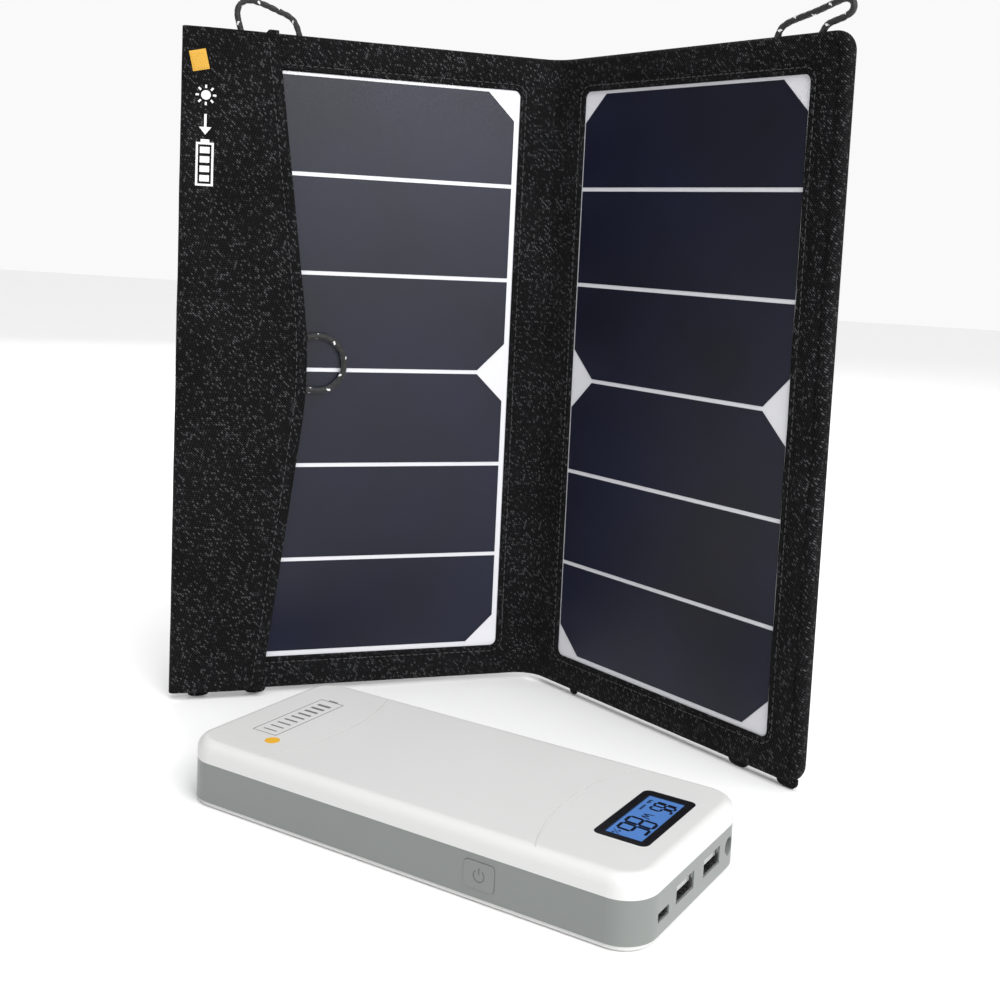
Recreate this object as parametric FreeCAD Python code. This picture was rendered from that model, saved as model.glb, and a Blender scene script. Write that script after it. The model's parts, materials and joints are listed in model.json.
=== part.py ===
"""Folding solar charger with its power bank: a two-panel fabric folio standing open, and a flat
battery pack on the ground in front of it.  One STEP file per piece, millimetres, +Z up.

The origin is on the ground, under the middle of the whole kit's box without its cords.  The pieces are
built about the spine, midway between the two fold lines, and moved there together at the end.
Both panels are drawn lying along +X with their cell side facing -Y, then swung to the rest angle; the
left one is mirrored.  In that panel frame X runs out from the fold line, Y is depth behind the cell
side, Z is height."""
import FreeCAD
import Part
import math
import os

V = FreeCAD.Vector

# ---- folio, overall ----
PANEL_HEIGHT = 293.0
PANEL_WIDTH = {"left": 162.0, "right": 158.0}
REST_ANGLE = 33.5            # each panel's swing forward from the flat, open position
SPINE_WIDTH = 8.0            # between the two fold lines, so room is left for the flap when shut
GROUND_LIFT = 2.5            # the case stands on its small sewn tabs
PANEL_START = 0.4            # case edge beside the fold line
OUTER_CORNER_RADIUS = 8.0
INNER_CORNER_RADIUS = 1.0

# ---- solar cells ----
CELL_SIZE = 125.0
CELLS_PER_PANEL = 2
STRIPS_PER_CELL = 3
STRIP_GAP = 1.83
CELL_CHAMFER = 12.6
CELL_THICKNESS = 0.25
CELL_INNER_EDGE = 15.3
WINDOW_MARGIN = {"left": 2.5, "right": 0.7}
WINDOW_MARGIN_OUTER = 0.7
WINDOW_MARGIN_TOP = 1.0
WINDOW_MARGIN_BOTTOM = 2.6
WINDOW_CORNER_RADIUS = 3.0

# ---- case layers, from the cell side backwards ----
CLOTH = 0.9
LAMINATE_THICKNESS = 1.6
LAMINATE_OVERLAP = 6.0       # laminate held behind the cloth frame
BOARD_THICKNESS = 1.4
BOARD_INSET = 3.0
LEAD_THICKNESS = 0.25
WALL = 1.0
DEPTH_LAMINATE = CLOTH
DEPTH_BOARD = DEPTH_LAMINATE + LAMINATE_THICKNESS
DEPTH_LEAD = DEPTH_BOARD + BOARD_THICKNESS
DEPTH_BACK = DEPTH_LEAD + LEAD_THICKNESS
PANEL_DEPTH = DEPTH_BACK + CLOTH

# ---- terminal covers and flat leads ----
TERMINAL_LENGTH = 22.0
TERMINAL_HEIGHT = 12.0
TERMINAL_CENTRE = 40.0       # out from the cells' inner edge
TERMINAL_DROP = 30.0         # down from the top of the cells
TERMINAL_CLEARANCE = 0.2
LEAD_WIDTH = 5.0
LEAD_PITCH = 7.5
LEAD_SLOT_CLEARANCE = 0.2

# ---- closing flap on the left panel ----
FLAP_THICKNESS = 1.2
FLAP_CLEARANCE = 0.7         # in front of the cell side
FLAP_HINGE_GAP = 0.6
FLAP_EDGE_END = 125.5        # free edge at the top and bottom, from the fold line
FLAP_EDGE_MIDDLE = 107.5     # free edge at its furthest reach over the cells
FLAP_BEND_RADIUS = 230.0
FLAP_END_INSET = 0.4
HEM_WIDTH = 4.0
HEM_PROUD = 0.3
TAG_WIDTH = 7.0
TAG_HEIGHT = 8.6
TAG_THICKNESS = 0.3
TAG_CENTRE = (156.8, 278.5)

# ---- closing button on the back of the right panel ----
BUTTON_KNOB_RADIUS = 7.0
BUTTON_KNOB_HEIGHT = 3.0
BUTTON_STEM_RADIUS = 3.0
BUTTON_STEM_HEIGHT = 3.2
BUTTON_EDGE_DISTANCE = 48.0

# ---- cord loops, by the points that their centre lines round off (out from fold line, up) ----
CORD_DIAMETER = 2.6
CORD_HOLE_CLEARANCE = 0.15
CORD_SEAT = 0.95             # how far each end goes down into the top wall
LEFT_LOOP = [(139.2, -CORD_SEAT), (140.6, 3.7), (141.4, 7.6), (140.3, 11.4), (136.6, 13.4),
             (130.6, 12.3), (124.3, 9.9), (118.7, 8.0), (115.5, 4.4), (114.2, -CORD_SEAT)]
RIGHT_LOOP = [(121.4, -CORD_SEAT), (122.4, 3.0), (126.4, 5.3), (132.0, 6.6), (138.4, 7.9),
              (144.4, 9.5), (149.4, 11.0), (153.6, 12.0), (157.0, 10.2), (157.0, 6.8),
              (153.4, 4.9), (148.8, 3.9), (144.6, 2.7), (142.8, -CORD_SEAT)]
FLAP_LOOP_MIDDLE = 149.5
FLAP_LOOP_GAP = 0.1
FLAP_LOOP = [(0.0, 11.6), (-5.0, 12.9), (-11.0, 10.9), (-15.6, 6.0), (-17.0, -0.6),
             (-15.2, -6.8), (-10.6, -11.2), (-5.2, -12.6), (0.0, -11.8)]

# ---- small tabs sewn under the bottom edge ----
TAB_WIDTH = 10.0
TAB_GAP = 0.125              # between a tab and the cloth on either side of it
TAB_PLACES = [126.0, 152.0]
TAIL_PLACE = 25.0
TAIL_WIDTH = 4.0

# ---- pocket and regulator on the back of the left panel ----
POCKET_START = 34.0
POCKET_WIDTH = 92.0
POCKET_BOTTOM = 40.0
POCKET_HEIGHT = 80.0
POCKET_DEPTH = 17.0
REGULATOR_WIDTH = 64.0
REGULATOR_DEPTH = 13.0
REGULATOR_HEIGHT = 34.0
REGULATOR_WALL = 1.6
REGULATOR_CLEARANCE = 0.6
REGULATOR_LID = 2.0
USB_SHELL = (13.1, 5.7, 12.0)      # width, height, depth of a socket's metal shell
USB_SHELL_WALL = 0.35
USB_TONGUE_THICKNESS = 1.84
USB_TONGUE_SIDE_GAP = 0.6
USB_TONGUE_RECESS = 0.8
SOCKET_CLEARANCE = 0.15
PCB_THICKNESS = 1.2

# ---- power bank ----
BANK_LENGTH = 188.0
BANK_WIDTH = 80.0
BANK_HEIGHT = 24.0
BANK_CENTRE = (20.0, -164.0)
BANK_TURN = -15.2
BANK_CORNER_RADIUS = 12.0
BANK_WALL = 2.2
BANK_TOP_THICKNESS = 2.2
BANK_BASE_THICKNESS = 2.0
BANK_PARTING = 16.5          # height where the top cover meets the side band
BANK_TOP_ROUND = 4.0
BANK_BASE_ROUND = 1.2
GROOVE_WIDTH = 0.5
GROOVE_DEPTH = 0.35
GROOVE_MIDDLE = {"left": -50.8, "right": 47.0}
GROOVE_BOW = 9.5             # how much further out a groove is at the pack's long edges
BEZEL_CENTRE = (74.5, 1.8)
BEZEL_SIZE = (19.6, 40.0)
BEZEL_RADIUS = 2.6
BEZEL_THICKNESS = 1.6
BEZEL_CLEARANCE = 0.1
DISPLAY_SIZE = (13.4, 33.4)
DISPLAY_THICKNESS = 2.0
POWER_BUTTON_CENTRE = (36.8, 9.6)
POWER_BUTTON_SIZE = (11.6, 9.0)
POWER_BUTTON_RADIUS = 1.5
POWER_BUTTON_CLEARANCE = 0.12
POWER_BUTTON_TRAVEL = 0.6
POWER_BUTTON_PROUD = 0.25
BUTTON_FLANGE_THICKNESS = 1.0
BUTTON_FLANGE_LIP = 0.9
SWITCH_SIZE = (6.0, 3.2, 6.0)
DC_JACK_CENTRE = (27.6, 9.6)
DC_JACK_BORE_RADIUS = 2.85
DC_JACK_COLLAR_RADIUS = 3.2
DC_JACK_BODY = 9.0
DC_JACK_WIDTH = 7.6
DC_JACK_SETBACK = 2.0        # body behind the wall, clear of the rounded corner
DC_JACK_LENGTH = 12.0
DC_JACK_INSET = 0.2          # the collar ends this far inside the band's outer face
DC_JACK_PIN_RADIUS = 1.05
USB_CENTRES = [(13.1, 9.8), (-8.0, 9.8)]
MICRO_CENTRE = (-23.8, 8.0)
MICRO_SHELL = (7.6, 2.9, 5.6)
BANK_PCB_LENGTH = 46.0
BANK_PCB_INSET = 1.0
BANK_PCB_SIDE_GAP = 6.8      # keeps the board clear of the rounded corners
CELL_PACK_WIDTH = 33.5
CELL_PACK_HEIGHT = 11.0
CELL_PACK_END_GAP = 14.6     # room for the wires between the cells and the board
CELL_PACK_GAP = 1.0
CELL_PACK_CLEARANCE = 1.0
SCREW_INSET_LENGTH = 20.0
SCREW_INSET_WIDTH = 9.5
SCREW_RADIUS = 1.3
SCREW_HEAD_RADIUS = 2.4
SCREW_HEAD_HEIGHT = 1.2
SCREW_LENGTH = 8.0
BOSS_RADIUS = 3.2
BOSS_HEIGHT = 9.0
BOSS_CLEARANCE = 1.0
BOSS_WEB = 1.6
FIT = 0.1                    # general clearance between fitted hard pieces

STRIP_HEIGHT = CELL_SIZE / STRIPS_PER_CELL
STRIP_COUNT = CELLS_PER_PANEL * STRIPS_PER_CELL
STRIP_PITCH = STRIP_HEIGHT + STRIP_GAP
FIELD_HEIGHT = STRIP_COUNT * STRIP_PITCH - STRIP_GAP
FIELD_BOTTOM = PANEL_HEIGHT / 2 - FIELD_HEIGHT / 2
FLAP_HINGE = PANEL_WIDTH["left"] + FLAP_HINGE_GAP

CORDS = ("left_top_loop", "right_top_loop", "flap_loop")

pieces = {}


def save(name, shape):
    pieces[name] = shape


def block(x0, x1, y0, y1, z0, z1):
    return Part.makeBox(x1 - x0, y1 - y0, z1 - z0, V(x0, y0, z0))


def cylinder(radius, height, base, direction):
    return Part.makeCylinder(radius, height, base, direction)


def outline(corners, radii):
    """A closed wire in the XZ plane with a rounded corner at each given point."""
    count = len(corners)
    edges = []
    ends = []
    for i in range(count):
        here = V(corners[i][0], 0, corners[i][1])
        before = V(corners[i - 1][0], 0, corners[i - 1][1])
        after = V(corners[(i + 1) % count][0], 0, corners[(i + 1) % count][1])
        radius = radii[i]
        if radius <= 0:
            ends.append((here, None, here))
            continue
        to_before = (before - here).normalize()
        to_after = (after - here).normalize()
        half = to_before.getAngle(to_after) / 2
        start = here + to_before * (radius / math.tan(half))
        stop = here + to_after * (radius / math.tan(half))
        bisector = (to_before + to_after).normalize()
        middle = here + bisector * (radius / math.sin(half) - radius)
        ends.append((start, middle, stop))
    for i in range(count):
        start, middle, stop = ends[i]
        if middle is not None:
            edges.append(Part.Arc(start, middle, stop).toShape())
        following = ends[(i + 1) % count][0]
        if (following - stop).Length > 1e-6:
            edges.append(Part.LineSegment(stop, following).toShape())
    return Part.Wire(edges)


def plate(x0, x1, z0, z1, y0, y1, radii=(0, 0, 0, 0)):
    """A flat plate with corner radii at bottom left, bottom right, top right and top left."""
    wire = outline([(x0, z0), (x1, z0), (x1, z1), (x0, z1)], radii)
    face = Part.Face(wire)
    solid = face.extrude(V(0, y1 - y0, 0))
    solid.translate(V(0, y0, 0))
    return solid


def case_radii(grow=0.0):
    inner = max(INNER_CORNER_RADIUS + grow, 0.2)
    outer = max(OUTER_CORNER_RADIUS + grow, 0.5)
    return (inner, outer, outer, inner)


def place(shape, side):
    """Swing a piece drawn in the panel frame to where its panel stands."""
    placed = shape.copy()
    placed.rotate(V(0, 0, 0), V(0, 0, 1), -REST_ANGLE)
    placed.translate(V(SPINE_WIDTH / 2, 0, GROUND_LIFT))
    if side == "left":
        placed = placed.mirror(V(0, 0, 0), V(1, 0, 0))
    return placed


def place_bank(shape):
    placed = shape.copy()
    placed.rotate(V(0, 0, 0), V(0, 0, 1), BANK_TURN)
    placed.translate(V(BANK_CENTRE[0], BANK_CENTRE[1], 0))
    return placed


def cord(points):
    """A round cord: straight runs joined by arcs, each as large as its two runs allow."""
    route = [V(*p) for p in points]
    edges = []
    radii = []
    reach = route[0]
    for i in range(1, len(route) - 1):
        back = route[i - 1] - route[i]
        ahead = route[i + 1] - route[i]
        shorter = min(back.Length, ahead.Length)
        back.normalize()
        ahead.normalize()
        half_turn = (math.pi - back.getAngle(ahead)) / 2
        cut = 0.45 * shorter
        radius = cut / math.tan(half_turn)
        radii.append(round(radius, 1))
        start = route[i] + back * cut
        stop = route[i] + ahead * cut
        bisector = (back + ahead).normalize()
        middle = route[i] + bisector * (radius / math.cos(half_turn) - radius)
        edges.append(Part.LineSegment(reach, start).toShape())
        edges.append(Part.Arc(start, middle, stop).toShape())
        reach = stop
    edges.append(Part.LineSegment(reach, route[-1]).toShape())
    path = Part.Wire(edges)
    first = (route[1] - route[0]).normalize()
    section = Part.Wire(Part.makeCircle(CORD_DIAMETER / 2, route[0], first))
    tube = path.makePipeShell([section], True, False)
    expected = math.pi * CORD_DIAMETER ** 2 / 4 * path.Length
    print("cord length %.1f radii %s volume ratio %.4f" % (path.Length, radii, tube.Volume / expected))
    return tube


# ---- the two panels ----

def window_box(side):
    x0 = CELL_INNER_EDGE - WINDOW_MARGIN[side]
    x1 = CELL_INNER_EDGE + CELL_SIZE + WINDOW_MARGIN_OUTER
    z0 = FIELD_BOTTOM - WINDOW_MARGIN_BOTTOM
    z1 = FIELD_BOTTOM + FIELD_HEIGHT + WINDOW_MARGIN_TOP
    return x0, x1, z0, z1


def front_frame(side):
    """The cloth border on the cell side, with its window."""
    x0, x1, z0, z1 = window_box(side)
    sheet = plate(PANEL_START, PANEL_WIDTH[side], 0, PANEL_HEIGHT, 0, CLOTH, case_radii())
    window = plate(x0, x1, z0, z1, -1, CLOTH + 1, (WINDOW_CORNER_RADIUS,) * 4)
    return sheet.cut(window)


def laminate(side):
    x0, x1, z0, z1 = window_box(side)
    grow = LAMINATE_OVERLAP
    return plate(x0 - grow, x1 + grow, z0 - grow, z1 + grow,
                 DEPTH_LAMINATE, DEPTH_LAMINATE + LAMINATE_THICKNESS, (2.0,) * 4)


def cell_strips():
    """Six strips: each cell is cut in three, so only its own corners are chamfered."""
    strips = []
    x0 = CELL_INNER_EDGE
    x1 = x0 + CELL_SIZE
    c = CELL_CHAMFER
    for i in range(STRIP_COUNT):
        z0 = FIELD_BOTTOM + i * STRIP_PITCH
        z1 = z0 + STRIP_HEIGHT
        place_in_cell = i % STRIPS_PER_CELL
        if place_in_cell == 0:
            corners = [(x0 + c, z0), (x1 - c, z0), (x1, z0 + c), (x1, z1), (x0, z1), (x0, z0 + c)]
        elif place_in_cell == STRIPS_PER_CELL - 1:
            corners = [(x0, z0), (x1, z0), (x1, z1 - c), (x1 - c, z1), (x0 + c, z1), (x0, z1 - c)]
        else:
            corners = [(x0, z0), (x1, z0), (x1, z1), (x0, z1)]
        face = Part.Face(outline(corners, [0] * len(corners)))
        strip = face.extrude(V(0, CELL_THICKNESS, 0))
        strip.translate(V(0, DEPTH_LAMINATE - CELL_THICKNESS, 0))
        strips.append(strip)
    return Part.makeCompound(strips)


def terminal_box(grow=0.0):
    half = TERMINAL_LENGTH / 2 + grow
    middle = CELL_INNER_EDGE + TERMINAL_CENTRE
    z0 = FIELD_BOTTOM + FIELD_HEIGHT - TERMINAL_DROP
    return block(middle - half, middle + half, DEPTH_BOARD, DEPTH_LEAD,
                 z0 - TERMINAL_HEIGHT / 2 - grow, z0 + TERMINAL_HEIGHT / 2 + grow)


def stiffener(side):
    """The plastic board that keeps a panel flat, cut out round the terminal cover."""
    inset = BOARD_INSET
    board = plate(PANEL_START + WALL + inset, PANEL_WIDTH[side] - WALL - inset, WALL + inset,
                  PANEL_HEIGHT - WALL - inset, DEPTH_BOARD, DEPTH_LEAD, (3.0,) * 4)
    return board.cut(terminal_box(TERMINAL_CLEARANCE))


def terminal_cover():
    box = terminal_box()
    edges = [e for e in box.Edges if abs(e.tangentAt(0).y) > 0.9]
    return box.makeFillet(1.5, edges)


def lead_heights():
    middle = FIELD_BOTTOM + FIELD_HEIGHT - TERMINAL_DROP
    return (middle - LEAD_PITCH / 2, middle + LEAD_PITCH / 2)


def leads(x0, x1, y0):
    strips = []
    for z in lead_heights():
        strips.append(block(x0, x1, y0, y0 + LEAD_THICKNESS, z - LEAD_WIDTH / 2, z + LEAD_WIDTH / 2))
    return Part.makeCompound(strips)


def panel_leads():
    return leads(PANEL_START + 0.1, CELL_INNER_EDGE + TERMINAL_CENTRE + TERMINAL_LENGTH / 2, DEPTH_LEAD)


def case_back(side):
    """The cloth back with its turned-up sides, slotted for the leads and the cord ends."""
    width = PANEL_WIDTH[side]
    outer = plate(PANEL_START, width, 0, PANEL_HEIGHT, CLOTH, PANEL_DEPTH, case_radii())
    hollow = plate(PANEL_START + WALL, width - WALL, WALL, PANEL_HEIGHT - WALL,
                   CLOTH - 1, DEPTH_BACK, case_radii(-WALL))
    back = outer.cut(hollow)
    for z in lead_heights():
        half = LEAD_WIDTH / 2 + LEAD_SLOT_CLEARANCE
        slot = block(PANEL_START - 1, PANEL_START + WALL + 1, DEPTH_LEAD - LEAD_SLOT_CLEARANCE, DEPTH_BACK,
                     z - half, z + half)
        back = back.cut(slot)
    loop = LEFT_LOOP if side == "left" else RIGHT_LOOP
    radius = CORD_DIAMETER / 2 + CORD_HOLE_CLEARANCE
    for end, beyond in ((loop[0], loop[1]), (loop[-1], loop[-2])):
        start = V(end[0], loop_depth(), PANEL_HEIGHT + end[1])
        direction = V(beyond[0] - end[0], 0, beyond[1] - end[1]).normalize()
        back = back.cut(cylinder(radius, 8.0, start - direction * 2.0, direction))
    return back


def bottom_tabs():
    tabs = []
    inset = CLOTH + TAB_GAP
    for x in TAB_PLACES:
        half = TAB_WIDTH / 2
        shape = plate(x - half, x + half, -GROUND_LIFT, 0, inset, PANEL_DEPTH - inset, (2.0, 2.0, 0, 0))
        tabs.append(shape)
    return Part.makeCompound(tabs)


def spine_tail():
    half = TAIL_WIDTH / 2
    inset = CLOTH + TAB_GAP
    return plate(TAIL_PLACE - half, TAIL_PLACE + half, -GROUND_LIFT, 0, inset, PANEL_DEPTH - inset,
                 (1.0, 1.0, 0, 0))


def loop_depth():
    """Depth of the hanging loops' plane: the middle of the case's side wall."""
    return CLOTH + CORD_DIAMETER / 2 + 0.2


def hanging_loop(points):
    return cord([(x, loop_depth(), PANEL_HEIGHT + z) for x, z in points])


def build_panels():
    for side in ("left", "right"):
        save(side + "_front_frame", place(front_frame(side), side))
        save(side + "_laminate", place(laminate(side), side))
        save(side + "_cells", place(cell_strips(), side))
        save(side + "_stiffener", place(stiffener(side), side))
        save(side + "_terminal_cover", place(terminal_cover(), side))
        save(side + "_leads", place(panel_leads(), side))
        save(side + "_case_back", place(case_back(side), side))
        save(side + "_bottom_tabs", place(bottom_tabs(), side))
    save("left_top_loop", place(hanging_loop(LEFT_LOOP), "left"))
    save("right_top_loop", place(hanging_loop(RIGHT_LOOP), "right"))
    save("spine_tail", place(spine_tail(), "right"))


# ---- the spine between the two fold lines ----

def build_spine():
    half = SPINE_WIDTH / 2 - 0.3
    z0 = GROUND_LIFT
    z1 = GROUND_LIFT + PANEL_HEIGHT
    lead_depth = CLOTH
    back_depth = CLOTH + LEAD_THICKNESS
    save("spine_front_cloth", block(-half, half, 0, lead_depth, z0, z1))
    save("spine_back_cloth", block(-half, half, back_depth, back_depth + CLOTH, z0, z1))
    lead = leads(-half, half, lead_depth)
    lead.translate(V(0, 0, GROUND_LIFT))
    save("spine_leads", lead)


# ---- the closing flap ----

def free_edge(shift):
    """The flap's free edge as (start, arc through, end) pieces, moved out by shift."""
    low = V(FLAP_EDGE_END + shift, 0, FLAP_END_INSET)
    high = V(FLAP_EDGE_END + shift, 0, PANEL_HEIGHT - FLAP_END_INSET)
    middle = PANEL_HEIGHT / 2
    run = middle - FLAP_END_INSET
    rise = FLAP_EDGE_END - FLAP_EDGE_MIDDLE
    sagitta_reach = FLAP_BEND_RADIUS * math.sin(math.atan(rise / run))
    slope = rise / run
    bow = sagitta_reach * slope / 2
    touch_low = V(FLAP_EDGE_MIDDLE + shift + bow, 0, middle - sagitta_reach)
    touch_high = V(FLAP_EDGE_MIDDLE + shift + bow, 0, middle + sagitta_reach)
    apex = V(FLAP_EDGE_MIDDLE + shift, 0, middle)
    return [Part.LineSegment(low, touch_low).toShape(),
            Part.Arc(touch_low, apex, touch_high).toShape(),
            Part.LineSegment(touch_high, high).toShape()], low, high


def flap_cloth():
    edges, low, high = free_edge(HEM_WIDTH)
    outer_low = V(FLAP_HINGE - 0.4, 0, FLAP_END_INSET)
    outer_high = V(FLAP_HINGE - 0.4, 0, PANEL_HEIGHT - FLAP_END_INSET)
    edges += [Part.LineSegment(high, outer_high).toShape(),
              Part.LineSegment(outer_high, outer_low).toShape(),
              Part.LineSegment(outer_low, low).toShape()]
    solid = Part.Face(Part.Wire(edges)).extrude(V(0, -FLAP_THICKNESS, 0))
    solid.translate(V(0, -FLAP_CLEARANCE, 0))
    return solid


def flap_hem():
    edges, low, high = free_edge(0.0)
    inner, inner_low, inner_high = free_edge(HEM_WIDTH)
    edges += [Part.LineSegment(high, inner_high).toShape()]
    edges += list(reversed(inner))
    edges += [Part.LineSegment(inner_low, low).toShape()]
    wire = Part.Wire(Part.__sortEdges__(edges))
    solid = Part.Face(wire).extrude(V(0, -FLAP_THICKNESS - HEM_PROUD, 0))
    solid.translate(V(0, -FLAP_CLEARANCE, 0))
    return solid


def flap_tag():
    x, z = TAG_CENTRE
    front = -FLAP_CLEARANCE - FLAP_THICKNESS
    return plate(x - TAG_WIDTH / 2, x + TAG_WIDTH / 2, z - TAG_HEIGHT / 2, z + TAG_HEIGHT / 2,
                 front - TAG_THICKNESS, front, (0.6,) * 4)


def flap_loop():
    depth = -FLAP_CLEARANCE - CORD_DIAMETER / 2
    start = FLAP_EDGE_MIDDLE - FLAP_LOOP_GAP
    return cord([(start + x, depth, FLAP_LOOP_MIDDLE + z) for x, z in FLAP_LOOP])


def build_flap():
    save("flap_cloth", place(flap_cloth(), "left"))
    save("flap_hem", place(flap_hem(), "left"))
    save("flap_tag", place(flap_tag(), "left"))
    save("flap_loop", place(flap_loop(), "left"))


# ---- closing button ----

def closing_button():
    x = PANEL_WIDTH["right"] - BUTTON_EDGE_DISTANCE
    z = PANEL_HEIGHT / 2
    base = V(x, PANEL_DEPTH, z)
    back = V(0, 1, 0)
    stem = cylinder(BUTTON_STEM_RADIUS, BUTTON_STEM_HEIGHT + BUTTON_KNOB_HEIGHT, base, back)
    knob = cylinder(BUTTON_KNOB_RADIUS, BUTTON_KNOB_HEIGHT, base + back * BUTTON_STEM_HEIGHT, back)
    edges = [e for e in knob.Edges if e.Curve.TypeId == "Part::GeomCircle"]
    return stem.fuse(knob.makeFillet(1.0, edges)).removeSplitter()


# ---- pocket and regulator ----

def back_pocket():
    x0 = POCKET_START
    x1 = x0 + POCKET_WIDTH
    z0 = POCKET_BOTTOM
    z1 = z0 + POCKET_HEIGHT
    y0 = PANEL_DEPTH
    y1 = y0 + POCKET_DEPTH
    body = block(x0, x1, y0, y1, z0, z1)
    edges = [e for e in body.Edges if abs(e.tangentAt(0).z) > 0.9 and e.Vertexes[0].Y > y1 - 0.1]
    body = body.makeFillet(4.0, edges)
    hollow = block(x0 + CLOTH, x1 - CLOTH, y0 - 1, y1 - CLOTH, z0 + CLOTH, z1 + 1)
    edges = [e for e in hollow.Edges if abs(e.tangentAt(0).z) > 0.9 and e.Vertexes[0].Y > y0]
    return body.cut(hollow.makeFillet(3.1, edges))


def regulator_frame():
    """Low corner of the regulator inside the pocket."""
    x = POCKET_START + POCKET_WIDTH / 2 - REGULATOR_WIDTH / 2
    y = PANEL_DEPTH + (POCKET_DEPTH - CLOTH) / 2 - REGULATOR_DEPTH / 2
    z = POCKET_BOTTOM + CLOTH + REGULATOR_CLEARANCE
    return V(x, y, z)


def usb_socket(width, height, depth, wall):
    """A metal shell with its tongue, mouth at Y = 0 facing -Y, centred on X and Z."""
    shell = block(-width / 2, width / 2, 0, depth, -height / 2, height / 2)
    hollow = block(-width / 2 + wall, width / 2 - wall, -1, depth - wall, -height / 2 + wall,
                   height / 2 - wall)
    tongue_half = width / 2 - wall - USB_TONGUE_SIDE_GAP
    thick = min(USB_TONGUE_THICKNESS, (height - 2 * wall) / 3)
    top = height / 2 - wall - thick * 0.55
    tongue = block(-tongue_half, tongue_half, USB_TONGUE_RECESS, depth - wall, top - thick, top)
    return shell.cut(hollow).fuse(tongue)


def socket_hole(width, height, length):
    grow = SOCKET_CLEARANCE
    return block(-width / 2 - grow, width / 2 + grow, -length, length, -height / 2 - grow, height / 2 + grow)


def turn_up(shape):
    """Turn a socket so that its mouth faces +Z."""
    turned = shape.copy()
    turned.rotate(V(0, 0, 0), V(1, 0, 0), -90)
    return turned


def regulator_pieces():
    corner = regulator_frame()
    w, d, h = REGULATOR_WIDTH, REGULATOR_DEPTH, REGULATOR_HEIGHT
    wall = REGULATOR_WALL
    box = block(0, w, 0, d - REGULATOR_LID, 0, h)
    hollow = block(wall, w - wall, wall, d, wall, h - wall)
    case = box.cut(hollow)
    lid = block(0, w, d - REGULATOR_LID, d, 0, h)
    socket_place = V(w / 2, wall + 0.2 + PCB_THICKNESS + USB_SHELL[1] / 2, h)
    hole = turn_up(socket_hole(USB_SHELL[0], USB_SHELL[1], 4.0))
    hole.translate(socket_place)
    case = case.cut(hole)
    socket = turn_up(usb_socket(USB_SHELL[0], USB_SHELL[1], USB_SHELL[2], USB_SHELL_WALL))
    socket.translate(socket_place - V(0, 0, 0.3))
    board = block(wall + 0.4, w - wall - 0.4, wall + 0.2, wall + 0.2 + PCB_THICKNESS,
                  wall + 0.4, h - wall - 0.4)
    named = {"regulator_case": case, "regulator_lid": lid, "regulator_usb_socket": socket,
             "regulator_board": board}
    for piece in named.values():
        piece.translate(corner)
    return named


def build_back():
    save("closing_button", place(closing_button(), "right"))
    save("back_pocket", place(back_pocket(), "left"))
    for name, shape in regulator_pieces().items():
        save(name, place(shape, "left"))


# ---- the power bank, drawn with its length along X, centred on X and Y, base at Z = 0 ----

def rounded_slab(inset, z0, z1):
    half_x = BANK_LENGTH / 2 - inset
    half_y = BANK_WIDTH / 2 - inset
    slab = block(-half_x, half_x, -half_y, half_y, z0, z1)
    edges = [e for e in slab.Edges if abs(e.tangentAt(0).z) > 0.9]
    return slab.makeFillet(BANK_CORNER_RADIUS - inset, edges)


def top_edges(shape, z):
    return [e for e in shape.Edges if all(abs(v.Z - z) < 1e-6 for v in e.Vertexes)]


def groove(side):
    """A shallow bowed groove right across the top cover."""
    middle = GROOVE_MIDDLE[side]
    outward = -1 if side == "left" else 1
    half = BANK_WIDTH / 2 + 2
    bow = GROOVE_BOW * (half / (BANK_WIDTH / 2)) ** 2
    radius = (half ** 2 + bow ** 2) / (2 * bow)
    centre = V(middle + outward * radius, 0, BANK_HEIGHT - GROOVE_DEPTH)
    outer = Part.makeCylinder(radius + GROOVE_WIDTH / 2, 5.0, centre)
    inner = Part.makeCylinder(radius - GROOVE_WIDTH / 2, 5.0, centre)
    strip = block(middle - 20, middle + 20, -half, half, BANK_HEIGHT - GROOVE_DEPTH, BANK_HEIGHT + 5)
    return outer.cut(inner).common(strip)


def bezel_box(z0, z1, grow):
    half_x = BEZEL_SIZE[0] / 2 + grow
    half_y = BEZEL_SIZE[1] / 2 + grow
    x, y = BEZEL_CENTRE
    box = block(x - half_x, x + half_x, y - half_y, y + half_y, z0, z1)
    edges = [e for e in box.Edges if abs(e.tangentAt(0).z) > 0.9]
    return box.makeFillet(BEZEL_RADIUS + grow, edges)


def display_box(z0, z1, grow):
    half_x = DISPLAY_SIZE[0] / 2 + grow
    half_y = DISPLAY_SIZE[1] / 2 + grow
    x, y = BEZEL_CENTRE
    return block(x - half_x, x + half_x, y - half_y, y + half_y, z0, z1)


def top_cover():
    outer = rounded_slab(0, BANK_PARTING, BANK_HEIGHT)
    outer = outer.makeFillet(BANK_TOP_ROUND, top_edges(outer, BANK_HEIGHT))
    hollow = rounded_slab(BANK_WALL, BANK_PARTING - 1, BANK_HEIGHT - BANK_TOP_THICKNESS)
    hollow = hollow.makeFillet(1.5, top_edges(hollow, BANK_HEIGHT - BANK_TOP_THICKNESS))
    cover = outer.cut(hollow)
    for side in ("left", "right"):
        cover = cover.cut(groove(side))
    cover = cover.cut(bezel_box(BANK_HEIGHT - BEZEL_THICKNESS, BANK_HEIGHT + 1, BEZEL_CLEARANCE))
    return cover.cut(display_box(BANK_PARTING, BANK_HEIGHT, 0.3))


def display_bezel():
    ring = bezel_box(BANK_HEIGHT - BEZEL_THICKNESS, BANK_HEIGHT - 0.05, 0)
    return ring.cut(display_box(BANK_PARTING, BANK_HEIGHT + 1, 0))


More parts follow.
